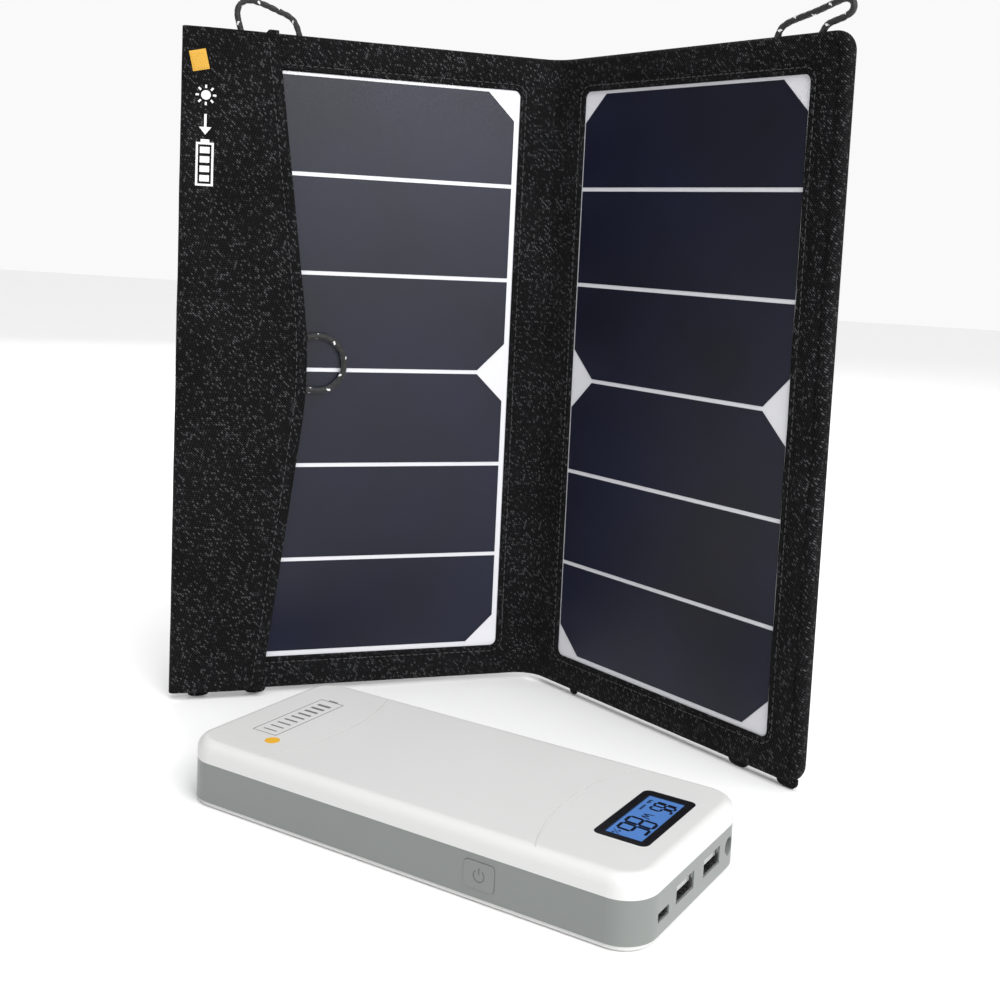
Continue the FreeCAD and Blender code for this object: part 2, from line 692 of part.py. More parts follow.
def display_panel():
    return display_box(BANK_HEIGHT - 0.4 - DISPLAY_THICKNESS, BANK_HEIGHT - 0.4, -FIT)


def port_holes():
    face = BANK_LENGTH / 2
    holes = []
    for y, z in USB_CENTRES:
        hole = side_turn(socket_hole(USB_SHELL[0], USB_SHELL[1], BANK_WALL + 1))
        hole.translate(V(face, y, z))
        holes.append(hole)
    hole = side_turn(socket_hole(MICRO_SHELL[0], MICRO_SHELL[1], BANK_WALL + 1))
    hole.translate(V(face, MICRO_CENTRE[0], MICRO_CENTRE[1]))
    holes.append(hole)
    start = V(face + 1, DC_JACK_CENTRE[0], DC_JACK_CENTRE[1])
    holes.append(cylinder(DC_JACK_COLLAR_RADIUS, BANK_WALL + DC_JACK_SETBACK + 2, start, V(-1, 0, 0)))
    return holes


def side_turn(shape):
    """Turn a socket so that its mouth faces +X."""
    turned = shape.copy()
    turned.rotate(V(0, 0, 0), V(0, 0, 1), 90)
    return turned


def button_box(y0, y1, grow):
    x, z = POWER_BUTTON_CENTRE
    half_x = POWER_BUTTON_SIZE[0] / 2 + grow
    half_z = POWER_BUTTON_SIZE[1] / 2 + grow
    return plate(x - half_x, x + half_x, z - half_z, z + half_z, y0, y1,
                 (POWER_BUTTON_RADIUS + grow,) * 4)


def screw_places():
    places = []
    for sx in (-1, 1):
        for sy in (-1, 1):
            places.append((sx * (BANK_LENGTH / 2 - SCREW_INSET_LENGTH),
                           sy * (BANK_WIDTH / 2 - SCREW_INSET_WIDTH)))
    return places


def side_band():
    """The grey body: a ring of wall with screw bosses, open to the top cover and base plate."""
    outer = rounded_slab(0, BANK_BASE_THICKNESS, BANK_PARTING)
    band = outer.cut(rounded_slab(BANK_WALL, 0, BANK_HEIGHT))
    inside = rounded_slab(0.5, BANK_BASE_THICKNESS, BANK_BASE_THICKNESS + BOSS_HEIGHT)
    for x, y in screw_places():
        boss = cylinder(BOSS_RADIUS, BOSS_HEIGHT, V(x, y, BANK_BASE_THICKNESS), V(0, 0, 1))
        wall = y + math.copysign(SCREW_INSET_WIDTH, y)
        web = block(x - BOSS_WEB / 2, x + BOSS_WEB / 2, min(y, wall), max(y, wall),
                    BANK_BASE_THICKNESS, BANK_BASE_THICKNESS + BOSS_HEIGHT)
        band = band.fuse(boss.fuse(web).common(inside))
    for x, y in screw_places():
        band = band.cut(cylinder(SCREW_RADIUS, SCREW_LENGTH + 0.5, V(x, y, 0), V(0, 0, 1)))
    for hole in port_holes():
        band = band.cut(hole)
    half = BANK_WIDTH / 2
    return band.cut(button_box(-half - 1, -half + BANK_WALL + 1, POWER_BUTTON_CLEARANCE))


def base_plate():
    base = rounded_slab(0.5, 0, BANK_BASE_THICKNESS)
    base = base.makeFillet(BANK_BASE_ROUND, top_edges(base, 0))
    for x, y in screw_places():
        base = base.cut(cylinder(SCREW_RADIUS + FIT, BANK_BASE_THICKNESS + 1, V(x, y, 0), V(0, 0, 1)))
        head = cylinder(SCREW_HEAD_RADIUS + FIT, SCREW_HEAD_HEIGHT + FIT, V(x, y, 0), V(0, 0, 1))
        base = base.cut(head)
    return base


def case_screws():
    screws = []
    for x, y in screw_places():
        head = cylinder(SCREW_HEAD_RADIUS, SCREW_HEAD_HEIGHT, V(x, y, FIT), V(0, 0, 1))
        shank = cylinder(SCREW_RADIUS, SCREW_LENGTH - FIT, V(x, y, FIT), V(0, 0, 1))
        recess = block(-1.4, 1.4, -0.3, 0.3, -1, 0.6)
        cross = recess.copy()
        cross.rotate(V(0, 0, 0), V(0, 0, 1), 90)
        tool = recess.fuse(cross)
        tool.translate(V(x, y, FIT))
        screws.append(head.fuse(shank).cut(tool))
    return Part.makeCompound(screws)


def power_button():
    """A rounded key with a stop flange behind the wall."""
    half = BANK_WIDTH / 2
    key = button_box(-half - POWER_BUTTON_PROUD, -half + BANK_WALL + POWER_BUTTON_TRAVEL, 0)
    back = -half + BANK_WALL + FIT
    flange = button_box(back, back + BUTTON_FLANGE_THICKNESS, BUTTON_FLANGE_LIP)
    return key.fuse(flange).removeSplitter()


def button_switch():
    half = BANK_WIDTH / 2
    start = -half + BANK_WALL + FIT + BUTTON_FLANGE_THICKNESS + POWER_BUTTON_TRAVEL + FIT
    x, z = POWER_BUTTON_CENTRE
    w, d, h = SWITCH_SIZE
    return block(x - w / 2, x + w / 2, start, start + d, z - h / 2, z + h / 2)


def usb_sockets():
    shapes = []
    face = BANK_LENGTH / 2
    for y, z in USB_CENTRES:
        socket = side_turn(usb_socket(USB_SHELL[0], USB_SHELL[1], USB_SHELL[2], USB_SHELL_WALL))
        socket.translate(V(face - 0.4, y, z))
        shapes.append(socket)
    return shapes


def micro_socket():
    socket = side_turn(usb_socket(MICRO_SHELL[0], MICRO_SHELL[1], MICRO_SHELL[2], 0.25))
    socket.translate(V(BANK_LENGTH / 2 - 0.4, MICRO_CENTRE[0], MICRO_CENTRE[1]))
    return socket


def dc_jack():
    face = BANK_LENGTH / 2
    y, z = DC_JACK_CENTRE
    inner = face - BANK_WALL - DC_JACK_SETBACK
    half = DC_JACK_BODY / 2
    collar = cylinder(DC_JACK_COLLAR_RADIUS - FIT, BANK_WALL + DC_JACK_SETBACK - 0.2,
                      V(inner, y, z), V(1, 0, 0))
    collar = collar.common(rounded_slab(DC_JACK_INSET, 0, BANK_HEIGHT))
    body = block(inner - DC_JACK_LENGTH, inner, y - DC_JACK_WIDTH / 2, y + DC_JACK_WIDTH / 2,
                 z - half, z + half)
    floor = V(inner - DC_JACK_LENGTH + 1.5, y, z)
    bore = cylinder(DC_JACK_BORE_RADIUS - FIT, DC_JACK_LENGTH + 10, floor, V(1, 0, 0))
    pin = cylinder(DC_JACK_PIN_RADIUS, DC_JACK_LENGTH, floor - V(0.5, 0, 0), V(1, 0, 0))
    return body.fuse(collar).cut(bore).fuse(pin)


def board_start():
    return BANK_LENGTH / 2 - BANK_WALL - BANK_PCB_INSET - BANK_PCB_LENGTH


def circuit_board():
    """The board sits under the sockets, clear of the screw bosses."""
    x0 = board_start()
    x1 = x0 + BANK_PCB_LENGTH
    half_y = BANK_WIDTH / 2 - BANK_WALL - BANK_PCB_SIDE_GAP
    z1 = DC_JACK_CENTRE[1] - DC_JACK_BODY / 2 - FIT
    board = block(x0, x1, -half_y, half_y, z1 - PCB_THICKNESS, z1)
    reach = BOSS_RADIUS + BOSS_CLEARANCE
    for x, y in screw_places():
        outside = math.copysign(BANK_WIDTH, y)
        near = y - math.copysign(reach, y)
        board = board.cut(block(x - reach, x + reach, min(near, outside), max(near, outside), 0, BANK_HEIGHT))
    return board


def cell_pack():
    """Two flat lithium cells side by side on the base plate."""
    width = CELL_PACK_WIDTH
    x0 = -BANK_LENGTH / 2 + SCREW_INSET_LENGTH + BOSS_RADIUS + CELL_PACK_CLEARANCE
    x1 = board_start() - CELL_PACK_END_GAP
    cells = []
    for sy in (-1, 1):
        y0 = CELL_PACK_GAP / 2 if sy > 0 else -CELL_PACK_GAP / 2 - width
        cell = block(x0, x1, y0, y0 + width, BANK_BASE_THICKNESS, BANK_BASE_THICKNESS + CELL_PACK_HEIGHT)
        edges = [e for e in cell.Edges if abs(e.tangentAt(0).x) > 0.9]
        cells.append(cell.makeFillet(2.0, edges))
    return Part.makeCompound(cells)


def build_power_bank():
    far, near = usb_sockets()
    named = {"bank_top_cover": top_cover(), "bank_side_band": side_band(),
             "bank_base_plate": base_plate(), "bank_display_bezel": display_bezel(),
             "bank_display_panel": display_panel(), "bank_power_button": power_button(),
             "bank_button_switch": button_switch(), "bank_usb_socket_far": far,
             "bank_usb_socket_near": near, "bank_micro_usb_socket": micro_socket(),
             "bank_dc_jack": dc_jack(), "bank_circuit_board": circuit_board(),
             "bank_cell_pack": cell_pack(), "bank_case_screws": case_screws()}
    for name, shape in named.items():
        save(name, place_bank(shape))


def move_to_origin():
    """Move everything so that the origin is under the middle of the kit's box, cords apart."""
    low_x, high_x, low_y, high_y = [], [], [], []
    for name, shape in pieces.items():
        if name not in CORDS:
            box = shape.optimalBoundingBox(False)
            low_x.append(box.XMin)
            high_x.append(box.XMax)
            low_y.append(box.YMin)
            high_y.append(box.YMax)
    shift = V(-(min(low_x) + max(high_x)) / 2, -(min(low_y) + max(high_y)) / 2, 0)
    for shape in pieces.values():
        shape.translate(shift)
    print("spine at %.4f %.4f" % (shift.x, shift.y))


def build():
    os.makedirs("parts", exist_ok=True)
    build_spine()
    build_panels()
    build_flap()
    build_back()
    build_power_bank()
    move_to_origin()
    for name, shape in pieces.items():
        shape.exportStep(os.path.join("parts", name + ".step"))
    print(len(pieces), "pieces")


build()
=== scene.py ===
import json
import math

import bpy
import numpy as np
from bpy.props import FloatProperty, FloatVectorProperty, IntProperty, PointerProperty
from mathutils import Matrix, Vector


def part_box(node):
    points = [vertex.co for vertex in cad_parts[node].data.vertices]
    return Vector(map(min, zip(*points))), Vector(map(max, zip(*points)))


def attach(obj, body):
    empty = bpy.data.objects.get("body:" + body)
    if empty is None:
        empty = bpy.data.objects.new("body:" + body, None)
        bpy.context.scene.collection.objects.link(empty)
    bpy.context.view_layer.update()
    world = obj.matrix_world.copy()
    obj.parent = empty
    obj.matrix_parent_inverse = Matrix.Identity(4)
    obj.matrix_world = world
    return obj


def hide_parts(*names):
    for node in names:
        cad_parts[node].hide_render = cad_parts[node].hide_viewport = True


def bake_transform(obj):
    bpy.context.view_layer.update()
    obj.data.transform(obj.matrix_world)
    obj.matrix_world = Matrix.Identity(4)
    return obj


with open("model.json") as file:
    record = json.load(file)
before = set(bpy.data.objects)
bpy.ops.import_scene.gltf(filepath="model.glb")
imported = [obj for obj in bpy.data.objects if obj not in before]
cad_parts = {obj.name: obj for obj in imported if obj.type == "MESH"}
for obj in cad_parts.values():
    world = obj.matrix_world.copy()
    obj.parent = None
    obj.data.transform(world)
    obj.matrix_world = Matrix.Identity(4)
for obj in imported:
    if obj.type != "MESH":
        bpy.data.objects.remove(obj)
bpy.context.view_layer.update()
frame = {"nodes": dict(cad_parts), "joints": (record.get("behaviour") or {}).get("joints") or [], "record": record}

bl_info = {
    "name": "Folding solar charger",
    "version": (1, 0, 0),
    "blender": (4, 5, 0),
    "location": "View3D > Sidebar > Solar kit",
    "description": "Sewn folio, cord loops, closing flap and power bank built on the packed frame",
    "category": "Object",
}

JOINTS = {joint["name"]: joint for joint in frame["joints"]}
LEFT_HINGE = Vector(JOINTS["left_fold"]["pos_m"])
RIGHT_HINGE = Vector(JOINTS["right_fold"]["pos_m"])
SPINE = (LEFT_HINGE + RIGHT_HINGE) / 2
SPINE_HALF = (RIGHT_HINGE - LEFT_HINGE).length / 2
REST = math.radians(-JOINTS["left_fold"]["range_deg"][0])
PRESS = Vector(JOINTS["power_button_press"]["axis"])
BANK_TURN = math.atan2(-PRESS.x, PRESS.y)
BANK_BASE = Vector(frame["record"]["mounts"][0]["pos_m"])
SIDE = {"left": -1, "right": 1}
CASE_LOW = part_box("left_case_back")[0].z
CASE_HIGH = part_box("right_case_back")[1].z
CASE_HEIGHT = CASE_HIGH - CASE_LOW
WIDTH = {"left": 0.162, "right": 0.158}
WINDOW = {"left": (0.0128, 0.1410, 0.01455, 0.27750), "right": (0.0146, 0.1410, 0.01455, 0.27750)}
WINDOW_CORNER = 0.003
OUTER_CORNER = 0.008
INNER_CORNER = 0.0004
CASE_DEPTH = 0.00505
SPINE_DEPTH = 0.00205
FLAP_MIDDLE = 0.1075         # the flap's free edge at half height, out from the fold line
FLAP_RISE = 0.018            # how much further out a straight free edge would end at top and bottom
FLAP_BEND = 0.230
FLAP_INSET = 0.0004
PRINT_SINK = 0.00004
PRINT_THICKNESS = 0.00007


# ---------------------------------------------------------------- sizes and colours

def size_setting(name, description, default):
    return FloatProperty(name=name, description=description, default=default, subtype="DISTANCE", unit="LENGTH")


def colour_setting(name, description, red, green, blue):
    return FloatVectorProperty(name=name, description=description, subtype="COLOR", size=4,
                               default=(red, green, blue, 1))


class SewingSizes(bpy.types.PropertyGroup):
    cloth: size_setting("Cloth", "Thickness of the case cloth", 0.0009)
    crown: size_setting("Crown", "How far a border stands proud between its seams", 0.0005)
    seam_inset: size_setting("Seam inset", "Seam line from the window edge", 0.0026)
    stitch_length: size_setting("Stitch length", "Visible length of one stitch", 0.0021)
    stitch_pitch: size_setting("Stitch pitch", "From one stitch to the next", 0.0030)
    thread: size_setting("Thread", "Thickness of the sewing thread", 0.00042)
    weave: size_setting("Weave", "Width of one diagonal rib of the weave", 0.00085)
    flap_bow: size_setting("Flap bow", "How far the flap's middle lifts", 0.0011)
    hem_width: size_setting("Hem width", "Width of the flap's folded hem", 0.0046)


class CordSizes(bpy.types.PropertyGroup):
    diameter: size_setting("Cord", "Diameter of the elastic cord", 0.0026)
    fleck_pitch: size_setting("Fleck pitch", "From one white fleck to the next", 0.0084)
    plaits: IntProperty(name="Plaits", description="Plaits round the braided sheath", default=8)


class KitColours(bpy.types.PropertyGroup):
    cloth: colour_setting("Cloth", "Case cloth", 0.0016, 0.0016, 0.0018)
    # Painted highlight colour on the raised threads of the weave.
    cloth_highlight: colour_setting("Cloth highlights", "Raised threads of the weave", 0.070, 0.070, 0.075)
    thread: colour_setting("Thread", "Sewing thread", 0.036, 0.036, 0.038)
    cord: colour_setting("Cord", "Cord sheath", 0.006, 0.006, 0.0065)
    fleck: colour_setting("Fleck", "Flecks on the cord", 0.85, 0.85, 0.85)
    tag: colour_setting("Tag", "Woven tag on the flap", 0.78, 0.42, 0.03)
    sheet: colour_setting("Backsheet", "White sheet round the cells", 0.74, 0.74, 0.78)
    cell: colour_setting("Cell", "Solar cells", 0.0026, 0.0034, 0.0135)
    shell: colour_setting("Bank cover", "Power bank's top cover", 0.63, 0.63, 0.625)
    band: colour_setting("Bank band", "Power bank's side band", 0.190, 0.204, 0.197)
    display: colour_setting("Display", "Lit display", 0.075, 0.185, 0.47)
    mark: colour_setting("Print", "Grey printed marks", 0.16, 0.16, 0.16)


# ---------------------------------------------------------------- places

def case_point(side, out, depth, height):
    """A point of the case: out from the fold line, depth behind the cell side, height above the case's
    foot. Near the fold line the case bends gently over to the spine, where out runs to minus its half."""
    sign = SIDE[side]
    reach = SPINE_HALF * 0.95
    radius = reach / math.tan(REST / 2)
    if out >= reach:
        x = SPINE_HALF + out * math.cos(REST) + depth * math.sin(REST)
        y = -out * math.sin(REST) + depth * math.cos(REST)
    elif out <= -reach:
        x = SPINE_HALF + out
        y = depth
    else:
        angle = REST * (out + reach) / (2 * reach)
        x = SPINE_HALF - reach + (radius + depth) * math.sin(angle)
        y = -radius + (radius + depth) * math.cos(angle)
    return Vector((SPINE.x + sign * x, SPINE.y + y, CASE_LOW + height))


def panel_matrix(side):
    """Places a piece drawn with X = out (negative on the left), Y = depth and Z = height."""
    sign = SIDE[side]
    place = Matrix.Translation((SPINE.x + sign * SPINE_HALF, SPINE.y, CASE_LOW))
    return place @ Matrix.Rotation(-sign * REST, 4, "Z")


def bank_matrix():
    return Matrix.Translation(BANK_BASE) @ Matrix.Rotation(BANK_TURN, 4, "Z")


def facing(side, way):
    """Direction out of a panel's back (way 1) or its front (way -1)."""
    return case_point(side, 0.05, 0.01 * way, 0) - case_point(side, 0.05, 0.0, 0)


def smooth_step(value):
    value = np.clip(value, 0.0, 1.0)
    return value * value * (3 - 2 * value)


def rolled(distance, radius):
    """How far a rounded edge falls away, as a share of its radius, at a distance in from it."""
    return 1 - math.sqrt(max(0.0, 1 - (1 - min(distance / radius, 1)) ** 2))


def ripple(out, height, seed, amount):
    """Slow unevenness of sewn cloth, the same on every run."""
    rng = np.random.default_rng(seed)
    total = 0.0
    for period in (0.061, 0.037, 0.023, 0.014):
        turn = rng.uniform(0, math.tau)
        phase = rng.uniform(0, math.tau)
        along = out * math.cos(turn) + height * math.sin(turn)
        total = total + np.sin(along * math.tau / period + phase) * (period / 0.06)
    return amount * total / 2.2


# ---------------------------------------------------------------- modelling helpers

def new_piece(name, points, faces, uvs=None, smooth_angle=50):
    mesh = bpy.data.meshes.new(name)
    mesh.from_pydata([tuple(p) for p in points], [], faces)
    mesh.validate()
    if uvs is not None:
        layer = mesh.uv_layers.new(name="UVMap")
        corner_vertices = np.zeros(len(mesh.loops), np.int32)
        mesh.loops.foreach_get("vertex_index", corner_vertices)
        layer.data.foreach_set("uv", np.asarray(uvs, np.float32)[corner_vertices].ravel())
    piece = bpy.data.objects.new(name, mesh)
    bpy.context.scene.collection.objects.link(piece)
    outward_normals(piece)
    bpy.ops.object.shade_smooth_by_angle(angle=math.radians(smooth_angle))
    return piece


def only_active(piece):
    bpy.ops.object.select_all(action="DESELECT")
    piece.select_set(True)
    bpy.context.view_layer.objects.active = piece


def outward_normals(piece):
    only_active(piece)
    bpy.ops.object.mode_set(mode="EDIT")
    bpy.ops.mesh.select_all(action="SELECT")
    bpy.ops.mesh.normals_make_consistent(inside=False)
    bpy.ops.object.mode_set(mode="OBJECT")


def settle(piece, matrix):
    """Put a piece where it belongs and leave its object at the origin."""
    piece.data.transform(matrix @ piece.matrix_world)
    piece.matrix_world = Matrix.Identity(4)
    piece.data.update()
    return piece


def join_pieces(pieces, name):
    only_active(pieces[0])
    for piece in pieces[1:]:
        piece.select_set(True)
    if len(pieces) > 1:
        bpy.ops.object.join()
    pieces[0].name = name
    pieces[0].data.name = name
    return pieces[0]


def closed_rings(name, rings, uvs):
    """A closed band: each ring has the same count, and the last ring joins the first."""
    count = len(rings[0])
    total = len(rings)
    faces = []
    for i in range(total):
        for j in range(count):
            a = i * count + j
            b = i * count + (j + 1) % count
            c = ((i + 1) % total) * count + (j + 1) % count
            d = ((i + 1) % total) * count + j
            faces.append((a, b, c, d))
    return new_piece(name, [p for ring in rings for p in ring], faces, [uv for ring in uvs for uv in ring])


def closed_sheet(name, front, back, uvs):
    """A closed sheet from two grids of points, front and back, joined all round their edges."""
    rows, columns = len(front), len(front[0])
    points = [p for row in front for p in row] + [p for row in back for p in row]
    shift = rows * columns
    faces = []
    for i in range(rows - 1):
        for j in range(columns - 1):
            a = i * columns + j
            quad = (a, a + 1, a + columns + 1, a + columns)
            faces.append(quad)
            faces.append(tuple(shift + k for k in reversed(quad)))
    rim = list(range(columns))
    rim += [i * columns + columns - 1 for i in range(1, rows)]
    rim += [(rows - 1) * columns + j for j in range(columns - 2, -1, -1)]
    rim += [i * columns for i in range(rows - 2, 0, -1)]
    for k in range(len(rim)):
        a, b = rim[k], rim[(k + 1) % len(rim)]
        faces.append((b, a, shift + a, shift + b))
    flat_uvs = [uv for row in uvs for uv in row]
    return new_piece(name, points, faces, flat_uvs + flat_uvs)


def rounded_loop(low_out, high_out, low, high, inner_radius, outer_radius):
    """Points round a rectangle with rounded corners, always the same count, with outward directions."""
    long_steps, short_steps, corner_steps = 132, 66, 10
    corners = [(high_out, low, outer_radius, -90), (high_out, high, outer_radius, 0),
               (low_out, high, inner_radius, 90), (low_out, low, inner_radius, 180)]
    centres = [(x - radius if x == high_out else x + radius, z - radius if z == high else z + radius)
               for x, z, radius, start in corners]
    points, outward = [], []
    for k, (x, z, radius, start) in enumerate(corners):
        cx, cz = centres[k]
        for step in range(corner_steps):
            angle = math.radians(start + 90 * step / corner_steps)
            points.append((cx + radius * math.cos(angle), cz + radius * math.sin(angle)))
            outward.append((math.cos(angle), math.sin(angle)))
        next_x, next_z = centres[(k + 1) % 4]
        next_radius = corners[(k + 1) % 4][2]
        angle = math.radians(start + 90)
        begin = (cx + radius * math.cos(angle), cz + radius * math.sin(angle))
        finish = (next_x + next_radius * math.cos(angle), next_z + next_radius * math.sin(angle))
        steps = long_steps if k in (0, 2) else short_steps
        for step in range(steps):
            t = step / steps
            points.append((begin[0] + (finish[0] - begin[0]) * t, begin[1] + (finish[1] - begin[1]) * t))
            outward.append((math.cos(angle), math.sin(angle)))
    return np.array(points), np.array(outward)


def window_loop(side, grow):
    """Points round a panel's window, a distance out from its edge."""
    low_out, high_out, low, high = WINDOW[side]
    radius = WINDOW_CORNER + grow
    return rounded_loop(low_out - grow, high_out + grow, low - grow, high + grow, radius, radius)[0]


def edge_loop(side, inset):
    """Points round a panel's outline, a distance in from its edge, with outward directions."""
    return rounded_loop(-SPINE_HALF, WIDTH[side] - inset, inset, CASE_HEIGHT - inset, INNER_CORNER,
                        max(OUTER_CORNER - inset, 0.001))


def one_stitch(sizes):
    """A single stitch along X: a thread whose ends taper and sink into the cloth."""
    length, radius = sizes.stitch_length, sizes.thread / 2
    bpy.ops.object.select_all(action="DESELECT")
    bpy.ops.mesh.primitive_cylinder_add(vertices=6, radius=radius, depth=length * 0.5,
                                        location=(0, 0, radius * 0.7), rotation=(0, math.pi / 2, 0))
    stitch = bpy.context.active_object
    bpy.ops.object.transform_apply(location=True, rotation=True, scale=True)
    for way in (-1, 1):
        bpy.ops.object.mode_set(mode="EDIT")
        bpy.ops.mesh.select_all(action="DESELECT")
        bpy.ops.object.mode_set(mode="OBJECT")
        for face in stitch.data.polygons:
            face.select = face.normal.x * way > 0.9
        bpy.ops.object.mode_set(mode="EDIT")
        drop = (way * length * 0.25, 0, -radius * 1.5)
        bpy.ops.mesh.extrude_region_move(TRANSFORM_OT_translate={"value": drop})
        bpy.ops.transform.resize(value=(1.0, 0.6, 0.6))
        bpy.ops.object.mode_set(mode="OBJECT")
    points = np.array([tuple(v.co) for v in stitch.data.vertices])
    faces = [tuple(face.vertices) for face in stitch.data.polygons]
    bpy.data.objects.remove(stitch)
    return points, faces


def stitch_row(name, places, sizes, colour_material):
    """Copies of one stitch along a line of (point, outward direction)."""
    points = [Vector(p) for p, n in places]
    normals = [Vector(n) for p, n in places]
    lengths = [0.0]
    for a, b in zip(points, points[1:]):
        lengths.append(lengths[-1] + (b - a).length)
    count = max(2, int(lengths[-1] / sizes.stitch_pitch))
    pitch = lengths[-1] / count
    shape, shape_faces = one_stitch(sizes)
    vertices, faces = [], []
    for k in range(count):
        distance = (k + 0.5) * pitch
        i = int(np.clip(np.searchsorted(lengths, distance) - 1, 0, len(points) - 2))
        t = (distance - lengths[i]) / max(lengths[i + 1] - lengths[i], 1e-9)
        centre = points[i].lerp(points[i + 1], t)
        along = (points[i + 1] - points[i]).normalized()
        up = normals[i].lerp(normals[i + 1], t).normalized()
        across = up.cross(along).normalized()
        base = len(vertices)
        for x, y, z in shape:
            vertices.append(centre + along * x + across * y + up * z)
        faces += [tuple(base + v for v in face) for face in shape_faces]
    piece = new_piece(name, vertices, faces, smooth_angle=70)
    piece.data.materials.append(colour_material)
    return piece


# ---------------------------------------------------------------- materials

def start_material(name):
    material = bpy.data.materials.new(name)
    material.use_nodes = True
    tree = material.node_tree
    return material, tree, tree.nodes["Principled BSDF"]


def plug(tree, value, target):
    """Link a socket, or set a plain value."""
    if isinstance(value, bpy.types.NodeSocket):
        tree.links.new(value, target)
    else:
        target.default_value = value


def fill(tree, node, **values):
    """Plug values into a node's inputs by name, with an underscore for each space."""
    for key, value in values.items():
        plug(tree, value, node.inputs[key.replace("_", " ")])
    return node


def add(tree, kind, **values):
    return fill(tree, tree.nodes.new(kind), **values)


def maths(tree, operation, first, second=None):
    node = tree.nodes.new("ShaderNodeMath")
    node.operation = operation
    plug(tree, first, node.inputs[0])
    if second is not None:
        plug(tree, second, node.inputs[1])
    return node.outputs[0]


def ridges(tree, value, spacing=1.0):
    """Rounded ridges: the absolute sine of a value, one ridge per spacing."""
    return maths(tree, "ABSOLUTE", maths(tree, "SINE", maths(tree, "MULTIPLY", value, math.pi / spacing)))


def blend_colours(tree, factor, dark, light):
    node = tree.nodes.new("ShaderNodeMix")
    node.data_type = "RGBA"
    for index, value in ((0, factor), (6, dark), (7, light)):
        plug(tree, value, node.inputs[index])
    return node.outputs[2]


def stretch(tree, value, low, high, to_low, to_high):
    node = tree.nodes.new("ShaderNodeMapRange")
    for index, number in enumerate((value, low, high, to_low, to_high)):
        plug(tree, number, node.inputs[index])
    return node.outputs[0]


def raise_surface(tree, shader, height, strength, distance):
    bump = add(tree, "ShaderNodeBump", Strength=strength, Distance=distance, Height=height)
    tree.links.new(bump.outputs[0], shader.inputs["Normal"])


def object_place(tree):
    return tree.nodes.new("ShaderNodeTexCoord").outputs["Object"]


def object_noise(tree, scale, detail=3.0, roughness=0.5):
    return add(tree, "ShaderNodeTexNoise", Vector=object_place(tree), Scale=scale, Detail=detail,
               Roughness=roughness).outputs[0]


def chart_axes(tree):
    """Across and up on the flat chart of a piece of cloth."""
    chart = tree.nodes.new("ShaderNodeUVMap")
    chart.uv_map = "UVMap"
    split = add(tree, "ShaderNodeSeparateXYZ", Vector=chart.outputs[0])
    return split.outputs[0], split.outputs[1]


def tinted(colour, factor=1.0):
    """The colour made darker or paler, and opaque."""
    return tuple(min(1.0, c * factor) for c in colour[:3]) + (1,)


def cloth_material(name, colours, rib, strength=0.75):
    """Black twill: diagonal ribs of short floats, with a painted highlight on their raised threads; each float's
    painted highlight has its own random strength, and slow patches make it stronger or weaker.
    """
    material, tree, shader = start_material(name)
    across, up = chart_axes(tree)
    diagonal = maths(tree, "DIVIDE", maths(tree, "ADD", across, up), rib * 1.35)
    counter = maths(tree, "DIVIDE", maths(tree, "SUBTRACT", across, up), rib * 2.1)
    rows = maths(tree, "FLOOR", diagonal)
    staggered = maths(tree, "ADD", counter, maths(tree, "MULTIPLY", rows, 0.37))
    floats = maths(tree, "ADD", maths(tree, "MULTIPLY", ridges(tree, staggered), 0.6), 0.4)
    height = maths(tree, "MULTIPLY", ridges(tree, diagonal), floats)
    cell = add(tree, "ShaderNodeCombineXYZ", X=rows, Y=maths(tree, "FLOOR", staggered))
    shade = add(tree, "ShaderNodeTexWhiteNoise", Vector=cell.outputs[0]).outputs[0]
    # Painted highlight: each float's raised threads are mixed towards the pale highlight colour, by a random
    # strength per float.
    gleam = maths(tree, "ADD", maths(tree, "MULTIPLY", maths(tree, "POWER", shade, 7.0), 2.2), 0.18)
    raised_thread_highlight = maths(tree, "MULTIPLY", maths(tree, "POWER", height, 2.0), gleam)
    # Slow patches that make the painted highlight stronger or weaker.
    wear = stretch(tree, object_noise(tree, 28.0, 4.0, 0.6), 0.3, 0.75, 0.55, 1.25)
    colour = blend_colours(tree, maths(tree, "MULTIPLY", raised_thread_highlight, wear), tuple(colours.cloth),
                           tuple(colours.cloth_highlight))
    fill(tree, shader, Base_Color=colour, Roughness=stretch(tree, height, 0.0, 1.0, 0.92, 0.62),
         Sheen_Weight=0.02, Sheen_Roughness=0.5, Specular_IOR_Level=0.06)
    raise_surface(tree, shader, height, strength, rib * 0.35)
    return material


def thread_material(name, colour):
    material, tree, shader = start_material(name)
    twist = add(tree, "ShaderNodeTexWave", Vector=object_place(tree), Scale=900.0, Distortion=1.5).outputs[1]
    # Painted shade: the thread is darkened to half its colour in the grooves of its twist, where the bump is low.
    recess_shaded_tint = blend_colours(tree, twist, tinted(colour, 0.5), tinted(colour))
    fill(tree, shader, Base_Color=recess_shaded_tint, Roughness=0.6, Sheen_Weight=0.2)
    raise_surface(tree, shader, twist, 0.4, 0.0001)
    return material


def plastic_material(name, colour, roughness, grain=0.12, scale=2600.0, wear=0.05, coat=0.0):
    """Moulded plastic: fine spark texture, and slow changes of gloss and shade."""
    material, tree, shader = start_material(name)
    grains = object_noise(tree, scale, 2.0, 0.6)
    slow = object_noise(tree, 22.0, 4.0, 0.55)
    gloss = stretch(tree, slow, 0.25, 0.75, roughness * 0.88, min(1.0, roughness * 1.12))
    fill(tree, shader, Base_Color=blend_colours(tree, slow, tinted(colour, 1 - wear), tinted(colour)),
         Roughness=gloss, Coat_Weight=coat, Coat_Roughness=0.12)
    raise_surface(tree, shader, grains, grain, 0.00006)
    return material


